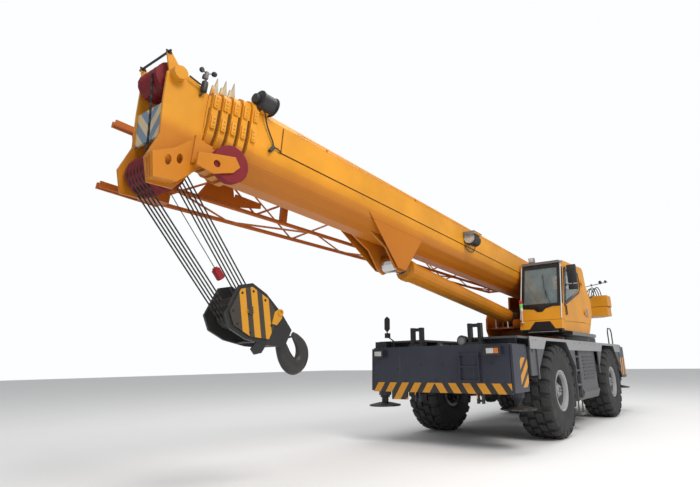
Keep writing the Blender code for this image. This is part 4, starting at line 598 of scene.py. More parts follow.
def only(piece):
    """Select one piece alone, in object mode."""
    bpy.ops.object.select_all(action="DESELECT")
    piece.select_set(True)
    bpy.context.view_layer.objects.active = piece


def started(primitive, **settings):
    """Add one of Blender's primitives with nothing else selected."""
    bpy.ops.object.select_all(action="DESELECT")
    primitive(**settings)
    return bpy.context.object


def settled(piece):
    """Put a primitive's place, turn and size into its mesh."""
    only(piece)
    bpy.ops.object.transform_apply(location=True, rotation=True, scale=True)
    return piece


class Shaping:
    """Edit mode on one piece, entered with nothing selected."""

    def __init__(self, piece):
        self.piece = piece

    def __enter__(self):
        only(self.piece)
        bpy.ops.object.mode_set(mode="EDIT")
        bpy.ops.mesh.select_mode(type="FACE")
        bpy.ops.mesh.select_all(action="DESELECT")
        return self

    def __exit__(self, *trouble):
        bpy.ops.object.mode_set(mode="OBJECT")

    def all(self):
        bpy.ops.mesh.select_all(action="SELECT")

    def pick(self, test):
        """Select the faces whose middle and direction pass a test."""
        bpy.ops.mesh.select_all(action="DESELECT")
        shape = bmesh.from_edit_mesh(self.piece.data)
        for face in shape.faces:
            face.select_set(test(face.calc_center_median(), face.normal))
        bmesh.update_edit_mesh(self.piece.data)

    def move(self, place):
        """Move every corner to the place that a function gives."""
        shape = bmesh.from_edit_mesh(self.piece.data)
        for vert in shape.verts:
            vert.co = place(vert.co)
        bmesh.update_edit_mesh(self.piece.data)


def block(x, y, z, bevel=0.006, segments=2):
    """A block between two limits on each axis, with its edges rounded."""
    low, high = (Vector(pick(limits) for limits in (x, y, z)) for pick in (min, max))
    piece = started(bpy.ops.mesh.primitive_cube_add, size=1.0, location=(low + high) / 2)
    piece.scale = high - low
    settled(piece)
    with Shaping(piece) as shape:
        shape.all()
        bpy.ops.mesh.bevel(offset=min(bevel, 0.3 * min(high - low)), segments=segments, affect="EDGES")
    return piece


def placed(piece, matrix):
    """Move a piece's mesh by a matrix."""
    piece.data.transform(matrix)
    return piece


def crane_block(x, y, z, bevel=0.006, segments=2):
    """A block with its x limits given from the front axle."""
    return block([value + ORIGIN_X for value in x], y, z, bevel, segments)


def boom_block(along, across, up, bevel):
    """A block with its limits given along, across and square to the boom."""
    return placed(block(along, across, up, bevel), boom_matrix())


def bar(start, end, radius, sides=16, chamfer=0.15, end_radius=None):
    """A round bar between two points, with rounded ends."""
    start, end = Vector(start), Vector(end)
    along = end - start
    piece = started(bpy.ops.mesh.primitive_cone_add, vertices=sides, radius1=radius,
                    radius2=radius if end_radius is None else end_radius, depth=along.length,
                    location=(start + end) / 2, rotation=along.to_track_quat("Z", "Y").to_euler())
    settled(piece)
    direction = along.normalized()
    if chamfer:
        with Shaping(piece) as shape:
            shape.pick(lambda middle, normal: abs(normal.dot(direction)) > 0.99)
            bpy.ops.mesh.bevel(offset=min(radius, end_radius or radius) * chamfer, segments=2, affect="EDGES")
    return piece


def sheet(points, depth, border=None, bevel=0.0):
    """A flat plate on an outline, or a frame of one width inside it, thick both ways from the outline."""
    piece = started(bpy.ops.mesh.primitive_circle_add, vertices=len(points), radius=1.0, fill_type="NGON")
    for vertex, point in zip(piece.data.vertices, points):
        vertex.co = point
    if border:
        with Shaping(piece) as shape:
            shape.all()
            bpy.ops.mesh.inset(thickness=border)
            bpy.ops.mesh.delete(type="FACE")
    only(piece)
    wall = piece.modifiers.new("wall", "SOLIDIFY")
    wall.thickness = depth
    wall.offset = 0.0
    bpy.ops.object.modifier_apply(modifier=wall.name)
    if bevel:
        round_edges(piece, bevel)
    return piece


def round_edges(piece, width, segments=2):
    """Bevel a piece's sharp edges."""
    only(piece)
    edge = piece.modifiers.new("edge", "BEVEL")
    edge.width = width
    edge.segments = segments
    edge.limit_method = "ANGLE"
    bpy.ops.object.modifier_apply(modifier=edge.name)
    return piece


def lathe(profile, centre, axis, steps=48):
    """A ring spun from a closed outline of (radius, along) points about an axis."""
    piece = started(bpy.ops.mesh.primitive_circle_add, vertices=len(profile), radius=1.0, fill_type="NOTHING")
    centre, axis = Vector(centre), Vector(axis)
    out = axis.orthogonal().normalized()
    for vertex, (radius, along) in zip(piece.data.vertices, profile):
        vertex.co = centre + out * radius + axis * along
    with Shaping(piece):
        bpy.ops.mesh.select_mode(type="EDGE")
        bpy.ops.mesh.select_all(action="SELECT")
        bpy.ops.mesh.spin(steps=steps, angle=2 * math.pi, center=centre, axis=axis)
        bpy.ops.mesh.select_all(action="SELECT")
        bpy.ops.mesh.remove_doubles(threshold=0.00005)
        bpy.ops.mesh.normals_make_consistent(inside=False)
    return piece


def hose(points, radius, smooth=True, resolution=4, swell=None):
    """A round hose or rod along a line of points; swell scales its radius at each of them."""
    curve = bpy.data.curves.new("line", "CURVE")
    curve.dimensions = "3D"
    curve.bevel_depth = radius
    curve.bevel_resolution = 4 if swell else 2
    curve.resolution_u = resolution
    curve.use_fill_caps = True
    spline = curve.splines.new("NURBS" if smooth else "POLY")
    spline.points.add(len(points) - 1)
    spline.order_u = 3
    spline.use_endpoint_u = True
    for index, (point, place) in enumerate(zip(spline.points, points)):
        point.co = (*place, 1.0)
        point.radius = swell[index] if swell else 1.0
    piece = bpy.data.objects.new("line", curve)
    bpy.context.scene.collection.objects.link(piece)
    only(piece)
    bpy.ops.object.convert(target="MESH")
    return bpy.context.object


def bolt(radius, height=None):
    """A washer and a hexagon head that stand on z = 0 and point up."""
    height = height or radius * 0.9
    washer = bar((0, 0, -0.002), (0, 0, height * 0.25), radius * 1.35, 12, 0.05)
    head = bar((0, 0, 0), (0, 0, height), radius, 6, 0.12)
    return joined([washer, head])


def joined(parts):
    """Join several pieces into the first."""
    only(parts[0])
    for part in parts:
        part.select_set(True)
    if len(parts) > 1:
        bpy.ops.object.join()
    return bpy.context.object


def copied(piece, places):
    """Copies of a piece, each with its own mesh moved by a matrix."""
    made = []
    for place in places:
        copy = piece.copy()
        copy.data = piece.data.copy()
        copy.data.transform(place)
        bpy.context.scene.collection.objects.link(copy)
        made.append(copy)
    bpy.data.objects.remove(piece, do_unlink=True)
    return made


def facing(point, direction):
    """Matrix that stands a piece from z = 0 on a point, pointing along a direction."""
    return Matrix.Translation(point) @ Vector(direction).to_track_quat("Z", "Y").to_matrix().to_4x4()


def bolts(points, direction, radius):
    """A bolt on each point, pointing one way."""
    return copied(bolt(radius), [facing(point, direction) for point in points])


def gather(name, parts, finish, body):
    """Join parts into one named piece, finish it and let it ride on a body."""
    piece = joined(parts)
    piece.name = name
    piece.data.name = name
    piece.data.materials.clear()
    piece.data.materials.append(finish)
    for face in piece.data.polygons:
        face.material_index = 0
    bpy.ops.object.shade_smooth_by_angle(angle=SMOOTH_ANGLE)
    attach(piece, body)
    return piece


def dark(name, parts, body):
    """A piece in black plastic."""
    return gather(name, parts, black_plastic(), body)


def pale(name, parts, body):
    """A piece in pale trim."""
    return gather(name, parts, pale_trim(), body)


def grey(name, parts, body):
    """A piece in grey paint."""
    return gather(name, parts, fitting_grey(), body)


class CRANE_OT_body_paint(bpy.types.Operator):
    """Paint the boom, cab and upper works, and the orange jib"""
    bl_idname = "crane.body_paint"
    bl_label = "Body paint"

    def execute(self, context):
        yellow = tuple(colours().body)
        coat_nodes(body_paint(), ["cab_door"])
        coat_nodes(paint("boom_yellow", yellow, marks=boom_marks), ["boom_base"])
        sections = ["boom_section_%d" % number for number in (2, 3, 4)]
        coat_nodes(paint("section_yellow", yellow, marks=section_marks), sections)
        coat_nodes(paint("head_yellow", yellow, marks=head_marks), ["boom_section_5"])
        coat_nodes(paint("cab_yellow", yellow, marks=cab_marks), ["cab_shell"])
        coat_nodes(paint("weight_yellow", yellow, marks=weight_marks), ["counterweight"])
        # Painted shade: the turntable takes the shade colour, a shaded copy of the body paint
        coat_nodes(paint("shaded_turntable_orange", tuple(colours().shade)), ["turntable"])
        # Partly painted shade: the lift cylinder barrel is halfway between the body paint and the shade colour
        cylinder = tuple(0.5 * (a + b) for a, b in zip(yellow, colours().shade))
        coat_nodes(paint("half_shaded_cylinder_orange", cylinder), ["lift_cylinder_barrel"])
        coat_nodes(paint("jib_orange", tuple(colours().jib)), ["lattice_jib"])
        return {"FINISHED"}


class CRANE_OT_carrier_paint(bpy.types.Operator):
    """Paint the frame, outriggers, decks and tanks"""
    bl_idname = "crane.carrier_paint"
    bl_label = "Carrier paint"

    def execute(self, context):
        slate, deck = tuple(colours().carrier), tuple(colours().deck)
        coat_nodes(paint("carrier_slate", slate, 0.34, 0.25, 0.6), ["chassis_frame", "outrigger_box_rear"])
        beams = ["outrigger_beam_%s_%s" % corner for corner in CORNERS]
        coat_nodes(paint("beam_slate", slate, 0.34, 0.25, 0.6, beam_marks), beams)
        front = paint("front_box_slate", slate, 0.34, 0.25, 0.4, front_marks, 0.15)
        coat_nodes(front, ["outrigger_box_front"])
        coat_nodes(paint("deck_grey", deck, 0.40, 0.15, 0.6, deck_marks), ["deck_left", "deck_right"])
        coat_nodes(paint("tank_grey", deck, 0.38, 0.15, 0.5, tank_marks), ["tank_left", "tank_right"])
        coat_nodes(paint("hood_grey", deck, 0.38, 0.15, 0.5), ["engine_hood"])
        pale_grey = paint("platform_grey", (0.17, 0.17, 0.165), 0.4, 0.1, 0.5, platform_marks)
        coat_nodes(pale_grey, ["cab_platform"])
        return {"FINISHED"}


class CRANE_OT_running_gear(bpy.types.Operator):
    """Finish the axles, knuckles, jacks and winches"""
    bl_idname = "crane.running_gear"
    bl_label = "Running gear"

    def execute(self, context):
        corners = [kind % corner for kind in ("knuckle_%s_%s", "outrigger_jack_%s_%s") for corner in CORNERS]
        coat_nodes(dark_paint(), ["axle_front", "axle_rear", "engine_block"] + corners)
        coat_nodes(steel("greased_steel"), ["slewing_ring_gear", "winch_main", "winch_auxiliary"])
        return {"FINISHED"}


def lug_block(start, end, half_width, height):
    """One tread block, flat: x round the tyre, y across it from its middle, z up from the casing."""
    piece = started(bpy.ops.mesh.primitive_cube_add, size=1.0, location=(0, (start + end) / 2, height / 2))
    piece.scale = (2 * half_width, end - start, height)
    settled(piece)
    with Shaping(piece) as shape:
        shape.pick(lambda middle, normal: normal.z > 0.9)
        bpy.ops.transform.resize(value=(0.86, 0.96, 1.0))
        for cut in (0.24, 0.30, 0.34, 0.38):
            if start < cut < end:
                shape.all()
                bpy.ops.mesh.bisect(plane_co=(0, cut, 0), plane_no=(0, 1, 0))
        if end < 0.2:
            shape.all()
            bpy.ops.mesh.subdivide(number_cuts=1)
    return round_edges(piece, 0.007, 1)


# Read by the distance along a tread block from the tyre's middle: its place across the tyre and its radius,
# and its share of the full height; then each row's start, end, half width, shift round the tyre and slant
TREAD_PATH = [(0.0, 0.0, 0.886), (0.28, 0.28, 0.880), (0.34, 0.333, 0.856), (0.40, 0.357, 0.800),
              (0.47, 0.366, 0.732)]
TREAD_ROWS = [(0.178, 0.425, 0.092, 0.0, 0.20), (0.014, 0.152, 0.100, 0.36, 0.14)]
TREAD_FADE = [(0.0, 1.0), (0.29, 1.0), (0.35, 0.80), (0.40, 0.35), (0.43, 0.05)]


def between(rows, along):
    """Read a table of rows by its first column, with straight lines between them."""
    for low, high in zip(rows, rows[1:]):
        if along <= high[0]:
            share = max(0.0, (along - low[0]) / (high[0] - low[0]))
            return [a + (b - a) * share for a, b in zip(low[1:], high[1:])]
    return list(rows[-1][1:])


def onto_tyre(point):
    """Bend a flat tread block round the tyre's shoulder and circumference."""
    y, radius = between(TREAD_PATH, point.y)
    ahead, ahead_radius = between(TREAD_PATH, point.y + 0.01)
    across, out = radius - ahead_radius, ahead - y
    length = math.hypot(across, out)
    lift = point.z * between(TREAD_FADE, point.y)[0]
    y += lift * across / length
    radius += lift * out / length
    angle = point.x / TYRE_RADIUS
    return Vector((radius * math.sin(angle), y, radius * math.cos(angle)))


def tyre_shape():
    """One tyre about the Y axis: spun casing with staggered blocks on it."""
    half = [(0.325, 0.402), (0.338, 0.425), (0.350, 0.435), (0.362, 0.470), (0.371, 0.540), (0.374, 0.600),
            (0.373, 0.665), (0.368, 0.720), (0.360, 0.780), (0.346, 0.832), (0.325, 0.862), (0.29, 0.878),
            (0.15, 0.884), (0.0, 0.886)]
    outline = [(r, y) for y, r in half] + [(r, -y) for y, r in reversed(half[:-1])]
    inner = [(0.345, -0.318), (0.345, 0.318)]
    casing = lathe(outline + inner, (0, 0, 0), (0, 1, 0), 72)
    count, height = sizes().lugs, sizes().lug
    parts = [casing]
    for start, end, half_width, shift, slant in TREAD_ROWS:
        flat = lug_block(start, end, half_width, height)
        with Shaping(flat) as shape:
            shape.move(lambda p: onto_tyre(Vector((p.x + slant * p.y, p.y, p.z))))
        places = []
        for side in (1, -1):
            mirror = Matrix.Diagonal((1, side, 1, 1))
            for step in range(count):
                turn = 2 * math.pi * (step + shift + (0.5 if side < 0 else 0.0)) / count
                places.append(Matrix.Rotation(turn, 4, "Y") @ mirror)
        parts += copied(flat, places)
    tyre = joined(parts)
    with Shaping(tyre) as shape:
        shape.all()
        bpy.ops.mesh.normals_make_consistent(inside=False)
    return tyre


def rim_shape():
    """One rim about the Y axis, its outer face towards +Y: flange, lock ring, dished disc, hub and nuts."""
    outline = [(0.402, 0.325), (0.412, 0.334), (0.408, 0.345), (0.392, 0.346), (0.376, 0.338), (0.366, 0.322),
               (0.352, 0.318), (0.346, 0.328), (0.334, 0.326), (0.322, 0.300), (0.312, 0.200), (0.300, 0.110),
               (0.286, 0.076), (0.262, 0.062), (0.200, 0.058), (0.180, 0.064), (0.150, 0.064), (0.150, 0.030),
               (0.262, 0.030), (0.325, 0.080), (0.336, 0.10), (0.336, -0.318), (0.402, -0.325)]
    ring = lathe(outline, (0, 0, 0), (0, 1, 0), 64)
    hub = [bar((0, low, 0), (0, high, 0), radius, sides, chamfer) for low, high, radius, sides, chamfer in (
        (0.05, 0.225, 0.168, 32, 0.08), (0.22, 0.285, 0.118, 28, 0.18), (0.28, 0.300, 0.045, 16, 0.25),
        (-0.09, 0.05, 0.16, 24, 0.05))]
    nut = bolt(0.015, 0.020)
    spots = []
    for radius, along, count in ((0.232, 0.060, 20), (0.142, 0.225, 12), (0.090, 0.285, 8)):
        turns = [2 * math.pi * k / count for k in range(count)]
        spots += [(radius * math.cos(turn), along, radius * math.sin(turn)) for turn in turns]
    nuts = copied(nut, [facing(spot, (0, 1, 0)) for spot in spots])
    valve = bar((0.29, 0.10, 0), (0.315, 0.20, 0), 0.008, 8)
    return joined([ring, *hub, *nuts, valve])


class CRANE_OT_tyres(bpy.types.Operator):
    """Block-treaded tyres on dished rims in place of the plain ones"""
    bl_idname = "crane.tyres"
    bl_label = "Tyres and rims"

    def execute(self, context):
        places, names = [], []
        for end, side in CORNERS:
            turn = Matrix.Identity(4) if side == "left" else Matrix.Rotation(math.pi, 4, "Z")
            places.append(Matrix.Translation((AXLE_X[end], SIDES[side] * WHEEL_Y, TYRE_RADIUS)) @ turn)
            names.append("%s_%s" % (end, side))
        silver = paint("rim_silver", (0.34, 0.34, 0.35), 0.36, 0.2, 0.4, rim_marks)
        black = rubber("tyre_rubber")
        for piece, name in zip(copied(tyre_shape(), places), names):
            tyre = gather("treaded_tyre_" + name, [piece], black, "wheel_" + name)
            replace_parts(tyre, "tyre_" + name)
        for piece, name in zip(copied(rim_shape(), places), names):
            rim = gather("dished_rim_" + name, [piece], silver, "wheel_" + name)
            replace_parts(rim, "rim_" + name)
        return {"FINISHED"}


# The hook's shank below the block's pin, and its bend: places in its plane with half widths
HOOK_TOP, HOOK_EYE = 0.5495, 0.63
HOOK_LINE = [(6.4015, 1.8537, 0.046), (6.366, 1.836, 0.072), (6.320, 1.750, 0.094), (6.262, 1.630, 0.108),
             (6.174, 1.538, 0.116), (6.080, 1.508, 0.112), (5.998, 1.545, 0.110), (5.950, 1.628, 0.110),
             (5.950, 1.722, 0.104), (5.990, 1.805, 0.088), (6.058, 1.872, 0.066), (6.112, 1.918, 0.048),
             (6.146, 1.944, 0.026)]


def hook_parts():
    """Forged hook: shank, collar, flattened tapering bend and latch."""
    def spot(along, across=0.0):
        return BLOCK_PIN + BLOCK_ALONG * along + BLOCK_ACROSS * across
    bend = hose([at(x, 0.0, z) for x, z, _ in HOOK_LINE], 1.0, swell=[half for _, _, half in HOOK_LINE])
    bend.data.transform(Matrix.Diagonal((1.0, 0.62, 1.0, 1.0)))
    shank = bar(spot(HOOK_TOP - 0.05), spot(HOOK_EYE + 0.12), 0.0435, 24, 0.1)
    collar = bar(spot(HOOK_TOP - 0.05), spot(HOOK_TOP), 0.075, 6, 0.1)
    pivot, side = spot(HOOK_EYE + 0.155, -0.045), Vector((0, 0.045, 0))
    latch = bar(pivot, at(6.146, 0.0, 1.905), 0.018, 10, 0.2, 0.014)
    spring = bar(pivot - side, pivot + side, 0.022, 12, 0.2)
    return [bend, shank, collar, latch, spring]


def on_block(across, along, out):
    """A point on the hook block, from its pin."""
    return BLOCK_PIN + BLOCK_ACROSS * across + BLOCK_ALONG * along + Vector((0, out, 0))


class CRANE_OT_tackle(bpy.types.Operator):
    """Finish the sheaves, rope, hook block and hook, with bolts and a trip weight among the falls"""
    bl_idname = "crane.tackle"
    bl_label = "Hook tackle"

    def execute(self, context):
        maroon = paint("sheave_red", tuple(colours().sheave), 0.42, 0.1, 0.4)
        coat_nodes(maroon, ["head_sheaves_upper", "head_sheaves_lower", "guide_sheave"])
        coat_nodes(paint("block_iron", (0.022, 0.021, 0.021), 0.38, 0.2, 0.5, block_marks), ["hook_block"])
        hook_iron = paint("hook_iron", (0.034, 0.032, 0.031), 0.42, 0.15, 0.5)
        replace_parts(gather("forged_hook", hook_parts(), hook_iron, "hook_body"), "hook")
        coat_nodes(paint("sheave_iron", (0.020, 0.018, 0.016), 0.42, 0.1, 0.4), ["block_sheaves"])
        coat_nodes(wire_rope("hoist_wire"), ["hoist_rope"])
        coat_nodes(polished_rod("chromed_rod"), ["lift_cylinder_rod"])

        heads = []
        spots = [(-0.12, -0.21), (0.12, -0.21), (0.22, -0.08), (0.22, 0.13), (0.0, 0.37), (-0.22, 0.13),
                 (-0.22, -0.08)]
        for side in (-1, 1):
            heads += bolts([on_block(a, d, side * 0.239) for a, d in spots], (0, side, 0), 0.012)
        gather("block_bolts", heads, dark_paint(), "block_body")

        ear = [(-0.02, 0.36), (-0.17, 0.33), (-0.235, 0.37), (-0.225, 0.45), (-0.15, 0.47), (-0.04, 0.44)]
        plate = sheet([on_block(a, d, 0.243) for a, d in ear], 0.016, bevel=0.003)
        ring = lathe([(0.042, -0.008), (0.042, 0.008), (0.022, 0.008), (0.022, -0.008)],
                     on_block(-0.205, 0.41, 0.255), (0, 1, 0), 20)
        yellow = paint("block_yellow", BLOCK_YELLOW)
        gather("block_lug", [plate, ring], yellow, "block_body")

        aside = Vector((0, 0.05, 0))
        weight = SHEAVE_AXIS + ROPE_LINE * 1.35 + aside
        trip = [bar(weight - ROPE_LINE * 0.07, weight + ROPE_LINE * 0.07, 0.052, 8, 0.2),
                bar(weight - ROPE_LINE * 0.09, weight - ROPE_LINE * 0.06, 0.034, 8, 0.2)]
        gather("trip_weight", trip, paint("trip_red", (0.30, 0.010, 0.016)), "hook_tackle")
        line = hose([SHEAVE_AXIS + aside + ROPE_LINE * 0.26, weight - ROPE_LINE * 0.085], 0.005, False)
        gather("trip_line", [line], dark_paint(), "hook_tackle")
        return {"FINISHED"}


UPRIGHT = boom_point(0, 0, 1) - boom_point(0, 0, 0)
FORWARD = boom_point(1, 0, 0) - boom_point(0, 0, 0)


def boom_matrix():
    """From measures along, across and square to the boom to the crane's own."""
    return Matrix.Translation(BOOM_FOOT) @ Matrix.Rotation(-BOOM_RISE, 4, "Y")


def pad_place(side, face, up):
    """Moves a collar pad from y = 0 to the boom's side."""
    flip = Matrix.Identity(4) if side > 0 else Matrix.Rotation(math.pi, 4, "X")
    return boom_matrix() @ Matrix.Translation((0, side * face, up)) @ flip


def collar_blocks(index, body):
    """Pads and bolts on one section's end collar."""
    end, inset = BOOM_LENGTH + COLLAR_STEP * index, COLLAR_INSET * index
    face = BOOM_HALF_WIDTH - inset + COLLAR_PROUD
    limits = (end - 0.075, end - 0.012) if index else (end - 0.085, end - 0.02)
    parts = []
    for side in (-1, 1):
        for up in (0.48, 0.20):
            pad = block(limits, (0, 0.024), (-0.085, 0.085))
            parts.append(placed(pad, pad_place(side, face, up)))
            spot = boom_point(end - 0.043, side * (face + 0.022), up)
            parts += bolts([spot + UPRIGHT * step for step in (-0.05, 0.0, 0.05)], (0, side, 0), 0.012)
    tops = [boom_point(end - 0.043, across, BOOM_TOP - inset + 0.043) for across in (-0.20, 0.0, 0.20)]
    parts += bolts(tops, UPRIGHT, 0.016)
    gather("collar_blocks_%d" % (index + 1), parts, body_paint(), body)


def rope_guide(index, body):
    """Pale pointed fin beside the rope on one collar."""
    middle, foot = BOOM_LENGTH - 0.105 + COLLAR_STEP * index, BOOM_TOP - COLLAR_INSET * index
    outline = [(-0.045, 0.045), (0.040, 0.045), (0.034, 0.20), (0.006, 0.345), (-0.016, 0.20)]
    fin = sheet([boom_point(middle + a, 0.2125, foot + b) for a, b in outline], 0.030, bevel=0.004)
    ivory = finish_of("ivory_tip", paint, (0.52, 0.44, 0.30), 0.4, 0.1, 0.3)
    gather("rope_guide_%d" % (index + 1), [fin], ivory, body)


def boom_lamp(u, w):
    """Work lamp on the boom's side, with its hood and cable; u along the boom and w square to it."""
    side, outer = BOOM_HALF_WIDTH, BOOM_HALF_WIDTH + 0.145

    def drum(start, end, radius, chamfer):
        return bar(boom_point(u + start, outer, w), boom_point(u + end, outer, w), radius, 20, chamfer)
    dark("boom_lamp_case", [drum(-0.145, 0.10, 0.125, 0.15), drum(0.08, 0.165, 0.135, 0.1)], "boom")
    gather("boom_lamp_lens", [drum(0.160, 0.176, 0.112, 0.3)], lamp_clear(), "boom")
    hood = boom_block((u - 0.16, u + 0.22), (side, outer + 0.14), (w + 0.128, w + 0.145), 0.004)
    flap = boom_block((u + 0.205, u + 0.222), (side + 0.02, outer + 0.14), (w + 0.06, w + 0.145), 0.004)
    grey("boom_lamp_hood", [hood, flap], "boom")
    cable = [boom_point(u - 0.10, outer, w - 0.10), boom_point(u - 0.02, outer + 0.01, w - 0.26),
             boom_point(u + 0.10, outer - 0.06, w - 0.30), boom_point(u + 0.16, side + 0.02, w - 0.16)]
    dark("boom_lamp_cable", [hose(cable, 0.009)], "boom")


def cable_reel(u, w):
    """Drum beside the first collar, and the cable that hangs from it with its handle."""
    y = BOOM_HALF_WIDTH + 0.05
    reel = [bar(boom_point(u + low, y, w), boom_point(u + high, y, w), radius, 24, 0.05)
            for low, high, radius in ((-0.12, -0.10, 0.135), (0.10, 0.12, 0.135), (-0.11, 0.11, 0.122))]
    nose = [boom_point(u + reach, y - 0.02, w + 0.01) for reach in (0.10, 0.18)]
    reel.append(bar(*nose, 0.066))
    dark("cable_reel", reel, "boom")
    drop = [(11.84, 0.52, 0.62), (11.78, 0.49, 0.50), (11.70, 0.478, 0.38), (11.62, 0.476, 0.28),
            (11.60, 0.476, 0.20), (11.54, 0.475, 0.22), (11.46, 0.470, 0.187)]
    grip = bar(boom_point(11.595, 0.476, 0.215), boom_point(11.655, 0.476, 0.125), 0.026, 10, 0.2)
    dark("reel_cable", [hose([boom_point(*spot) for spot in drop], 0.010), grip], "boom")


def wind_gauge(mast):
    """Cup wind gauge beside the head, on a point in its body."""
    stem = [mast - UPRIGHT * 0.06, mast + Vector((0.04, -0.03, -0.16)), boom_point(12.60, 0.285, 0.53)]
    parts = [bar(mast - UPRIGHT * 0.07, mast + UPRIGHT * 0.07, 0.038, 12, 0.2),
             bar(mast + UPRIGHT * 0.06, mast + UPRIGHT * 0.12, 0.014, 8, 0.1),
             bar(mast + FORWARD * 0.02, mast + FORWARD * 0.20 + UPRIGHT * 0.04, 0.010, 8, 0.1),
             hose(stem, 0.010)]
    hub = mast + UPRIGHT * 0.19
    cup = started(bpy.ops.mesh.primitive_uv_sphere_add, segments=12, ring_count=8, radius=0.034)
    with Shaping(cup) as shape:
        shape.all()
        bpy.ops.mesh.bisect(plane_co=(0, 0, 0.01), plane_no=(0, 0, 1), clear_outer=True, use_fill=True)
    arms = [Vector((math.cos(a), math.sin(a), 0.0)) for a in (0.35, 2.45, 4.54)]
    spots = [hub + arm * 0.085 for arm in arms]
    parts += copied(cup, [facing(spot, Vector((-arm.y, arm.x, 0))) for spot, arm in zip(spots, arms)])
    parts += [bar(hub, spot, 0.006, 6, 0.1) for spot in spots]
    dark("wind_gauge", parts, "section_5")
    grey("wind_gauge_head", [bar(mast + UPRIGHT * 0.11, hub + UPRIGHT * 0.02, 0.026, 12, 0.3)], "section_5")


class CRANE_OT_boom_fittings(bpy.types.Operator):
    """Collar blocks and bolts, work lamp, cable reel, hoses and wind gauge on the boom"""
    bl_idname = "crane.boom_fittings"
    bl_label = "Boom fittings"

    def execute(self, context):
        bodies = ["boom", "section_2", "section_3", "section_4", "section_5"]
        for index, body in enumerate(bodies):
            collar_blocks(index, body)
        for index in (2, 3, 4):
            rope_guide(index, bodies[index])
        boom_lamp(6.13, 0.32)
        cable_reel(11.82, 0.74)

        rail = hose([boom_point(u, 0.462, 0.60) for u in (0.2, 3.0, 6.0, 9.0, 11.2)], 0.006, False)
        clips = [boom_block((u - 0.02, u + 0.02), (0.448, 0.474), (0.588, 0.612), 0.003)
                 for u in (1.0, 3.4, 5.8, 8.2, 10.6)]
        gather("boom_side_line", [rail, *clips], body_paint(), "boom")
        rope = [boom_point(13.118, 0.11, 0.60), boom_point(13.03, 0.12, 0.10), boom_point(12.99, 0.12, -0.40)]
        gather("head_rope", [hose(rope, 0.0125)], wire_rope("head_wire"), "section_5")
        wind_gauge(at(8.056, 0.35, 4.705))
        return {"FINISHED"}


def screen(y, z, proud=0.004):
    """A point on the cab's raked front wall."""
    return at(-0.98 - (z - 2.82) * 0.30 / 1.04 + proud, y, z)


def side_sheet(outline, y, border=None, bevel=0.0):
    """A thin upright plate on an outline in the XZ plane."""
    return sheet([at(x, y, z) for x, z in outline], 0.010, border, bevel)


def line(points, radius, smooth=True):
    """A hose through points given from the front axle."""
    return hose([at(*point) for point in points], radius, smooth)


def cab_borders():
    """Black borders of the windows, and the pale strips on the front corners."""
    rim = ((0.548, 2.80), (1.545, 2.80), (1.545, 3.872), (0.548, 3.872))
    border = sheet([screen(y, z) for y, z in rim], 0.012, 0.078, 0.003)
    dip = [(0.548, 2.815), (0.548, 2.775), (0.88, 2.745), (0.97, 2.675), (1.09, 2.675), (1.17, 2.755),
           (1.545, 2.850), (1.545, 2.880), (1.17, 2.860), (0.88, 2.860)]
    vee = sheet([screen(y, z, 0.005) for y, z in dip], 0.012, bevel=0.003)
    gather("screen_border", [border, vee], border_black(), "upper")
    strips = [hose([screen(y, 2.50, 0.008), screen(y, 2.82, 0.010), screen(y, 3.86, 0.010)], 0.013, False)
              for y in (CAB_RIGHT + 0.006, CAB_LEFT - 0.006)]
    pale("corner_strips", strips, "upper")

    left = side_sheet([(-1.17, 2.80), (-1.455, 3.785), (-2.76, 3.835), (-2.85, 3.44), (-2.64, 3.25)],
                      CAB_LEFT + 0.007, 0.052, 0.003)
    post = side_sheet([(-1.33, 2.90), (-1.38, 2.90), (-1.62, 3.76), (-1.56, 3.76)], CAB_LEFT + 0.006)
    gather("door_window_border", [left, post], border_black(), "door")
    right = side_sheet([(-1.18, 2.80), (-1.455, 3.785), (-3.09, 3.835), (-3.17, 3.26)],
                       CAB_RIGHT - 0.003, 0.052, 0.003)
    gather("right_window_border", [right], border_black(), "upper")
    pillar = side_sheet([(-1.012, 2.88), (-1.262, 3.80), (-1.36, 3.80), (-1.105, 2.85)],
                        CAB_LEFT + 0.003, bevel=0.002)
    gather("pillar_panel", [pillar], border_black(), "upper")


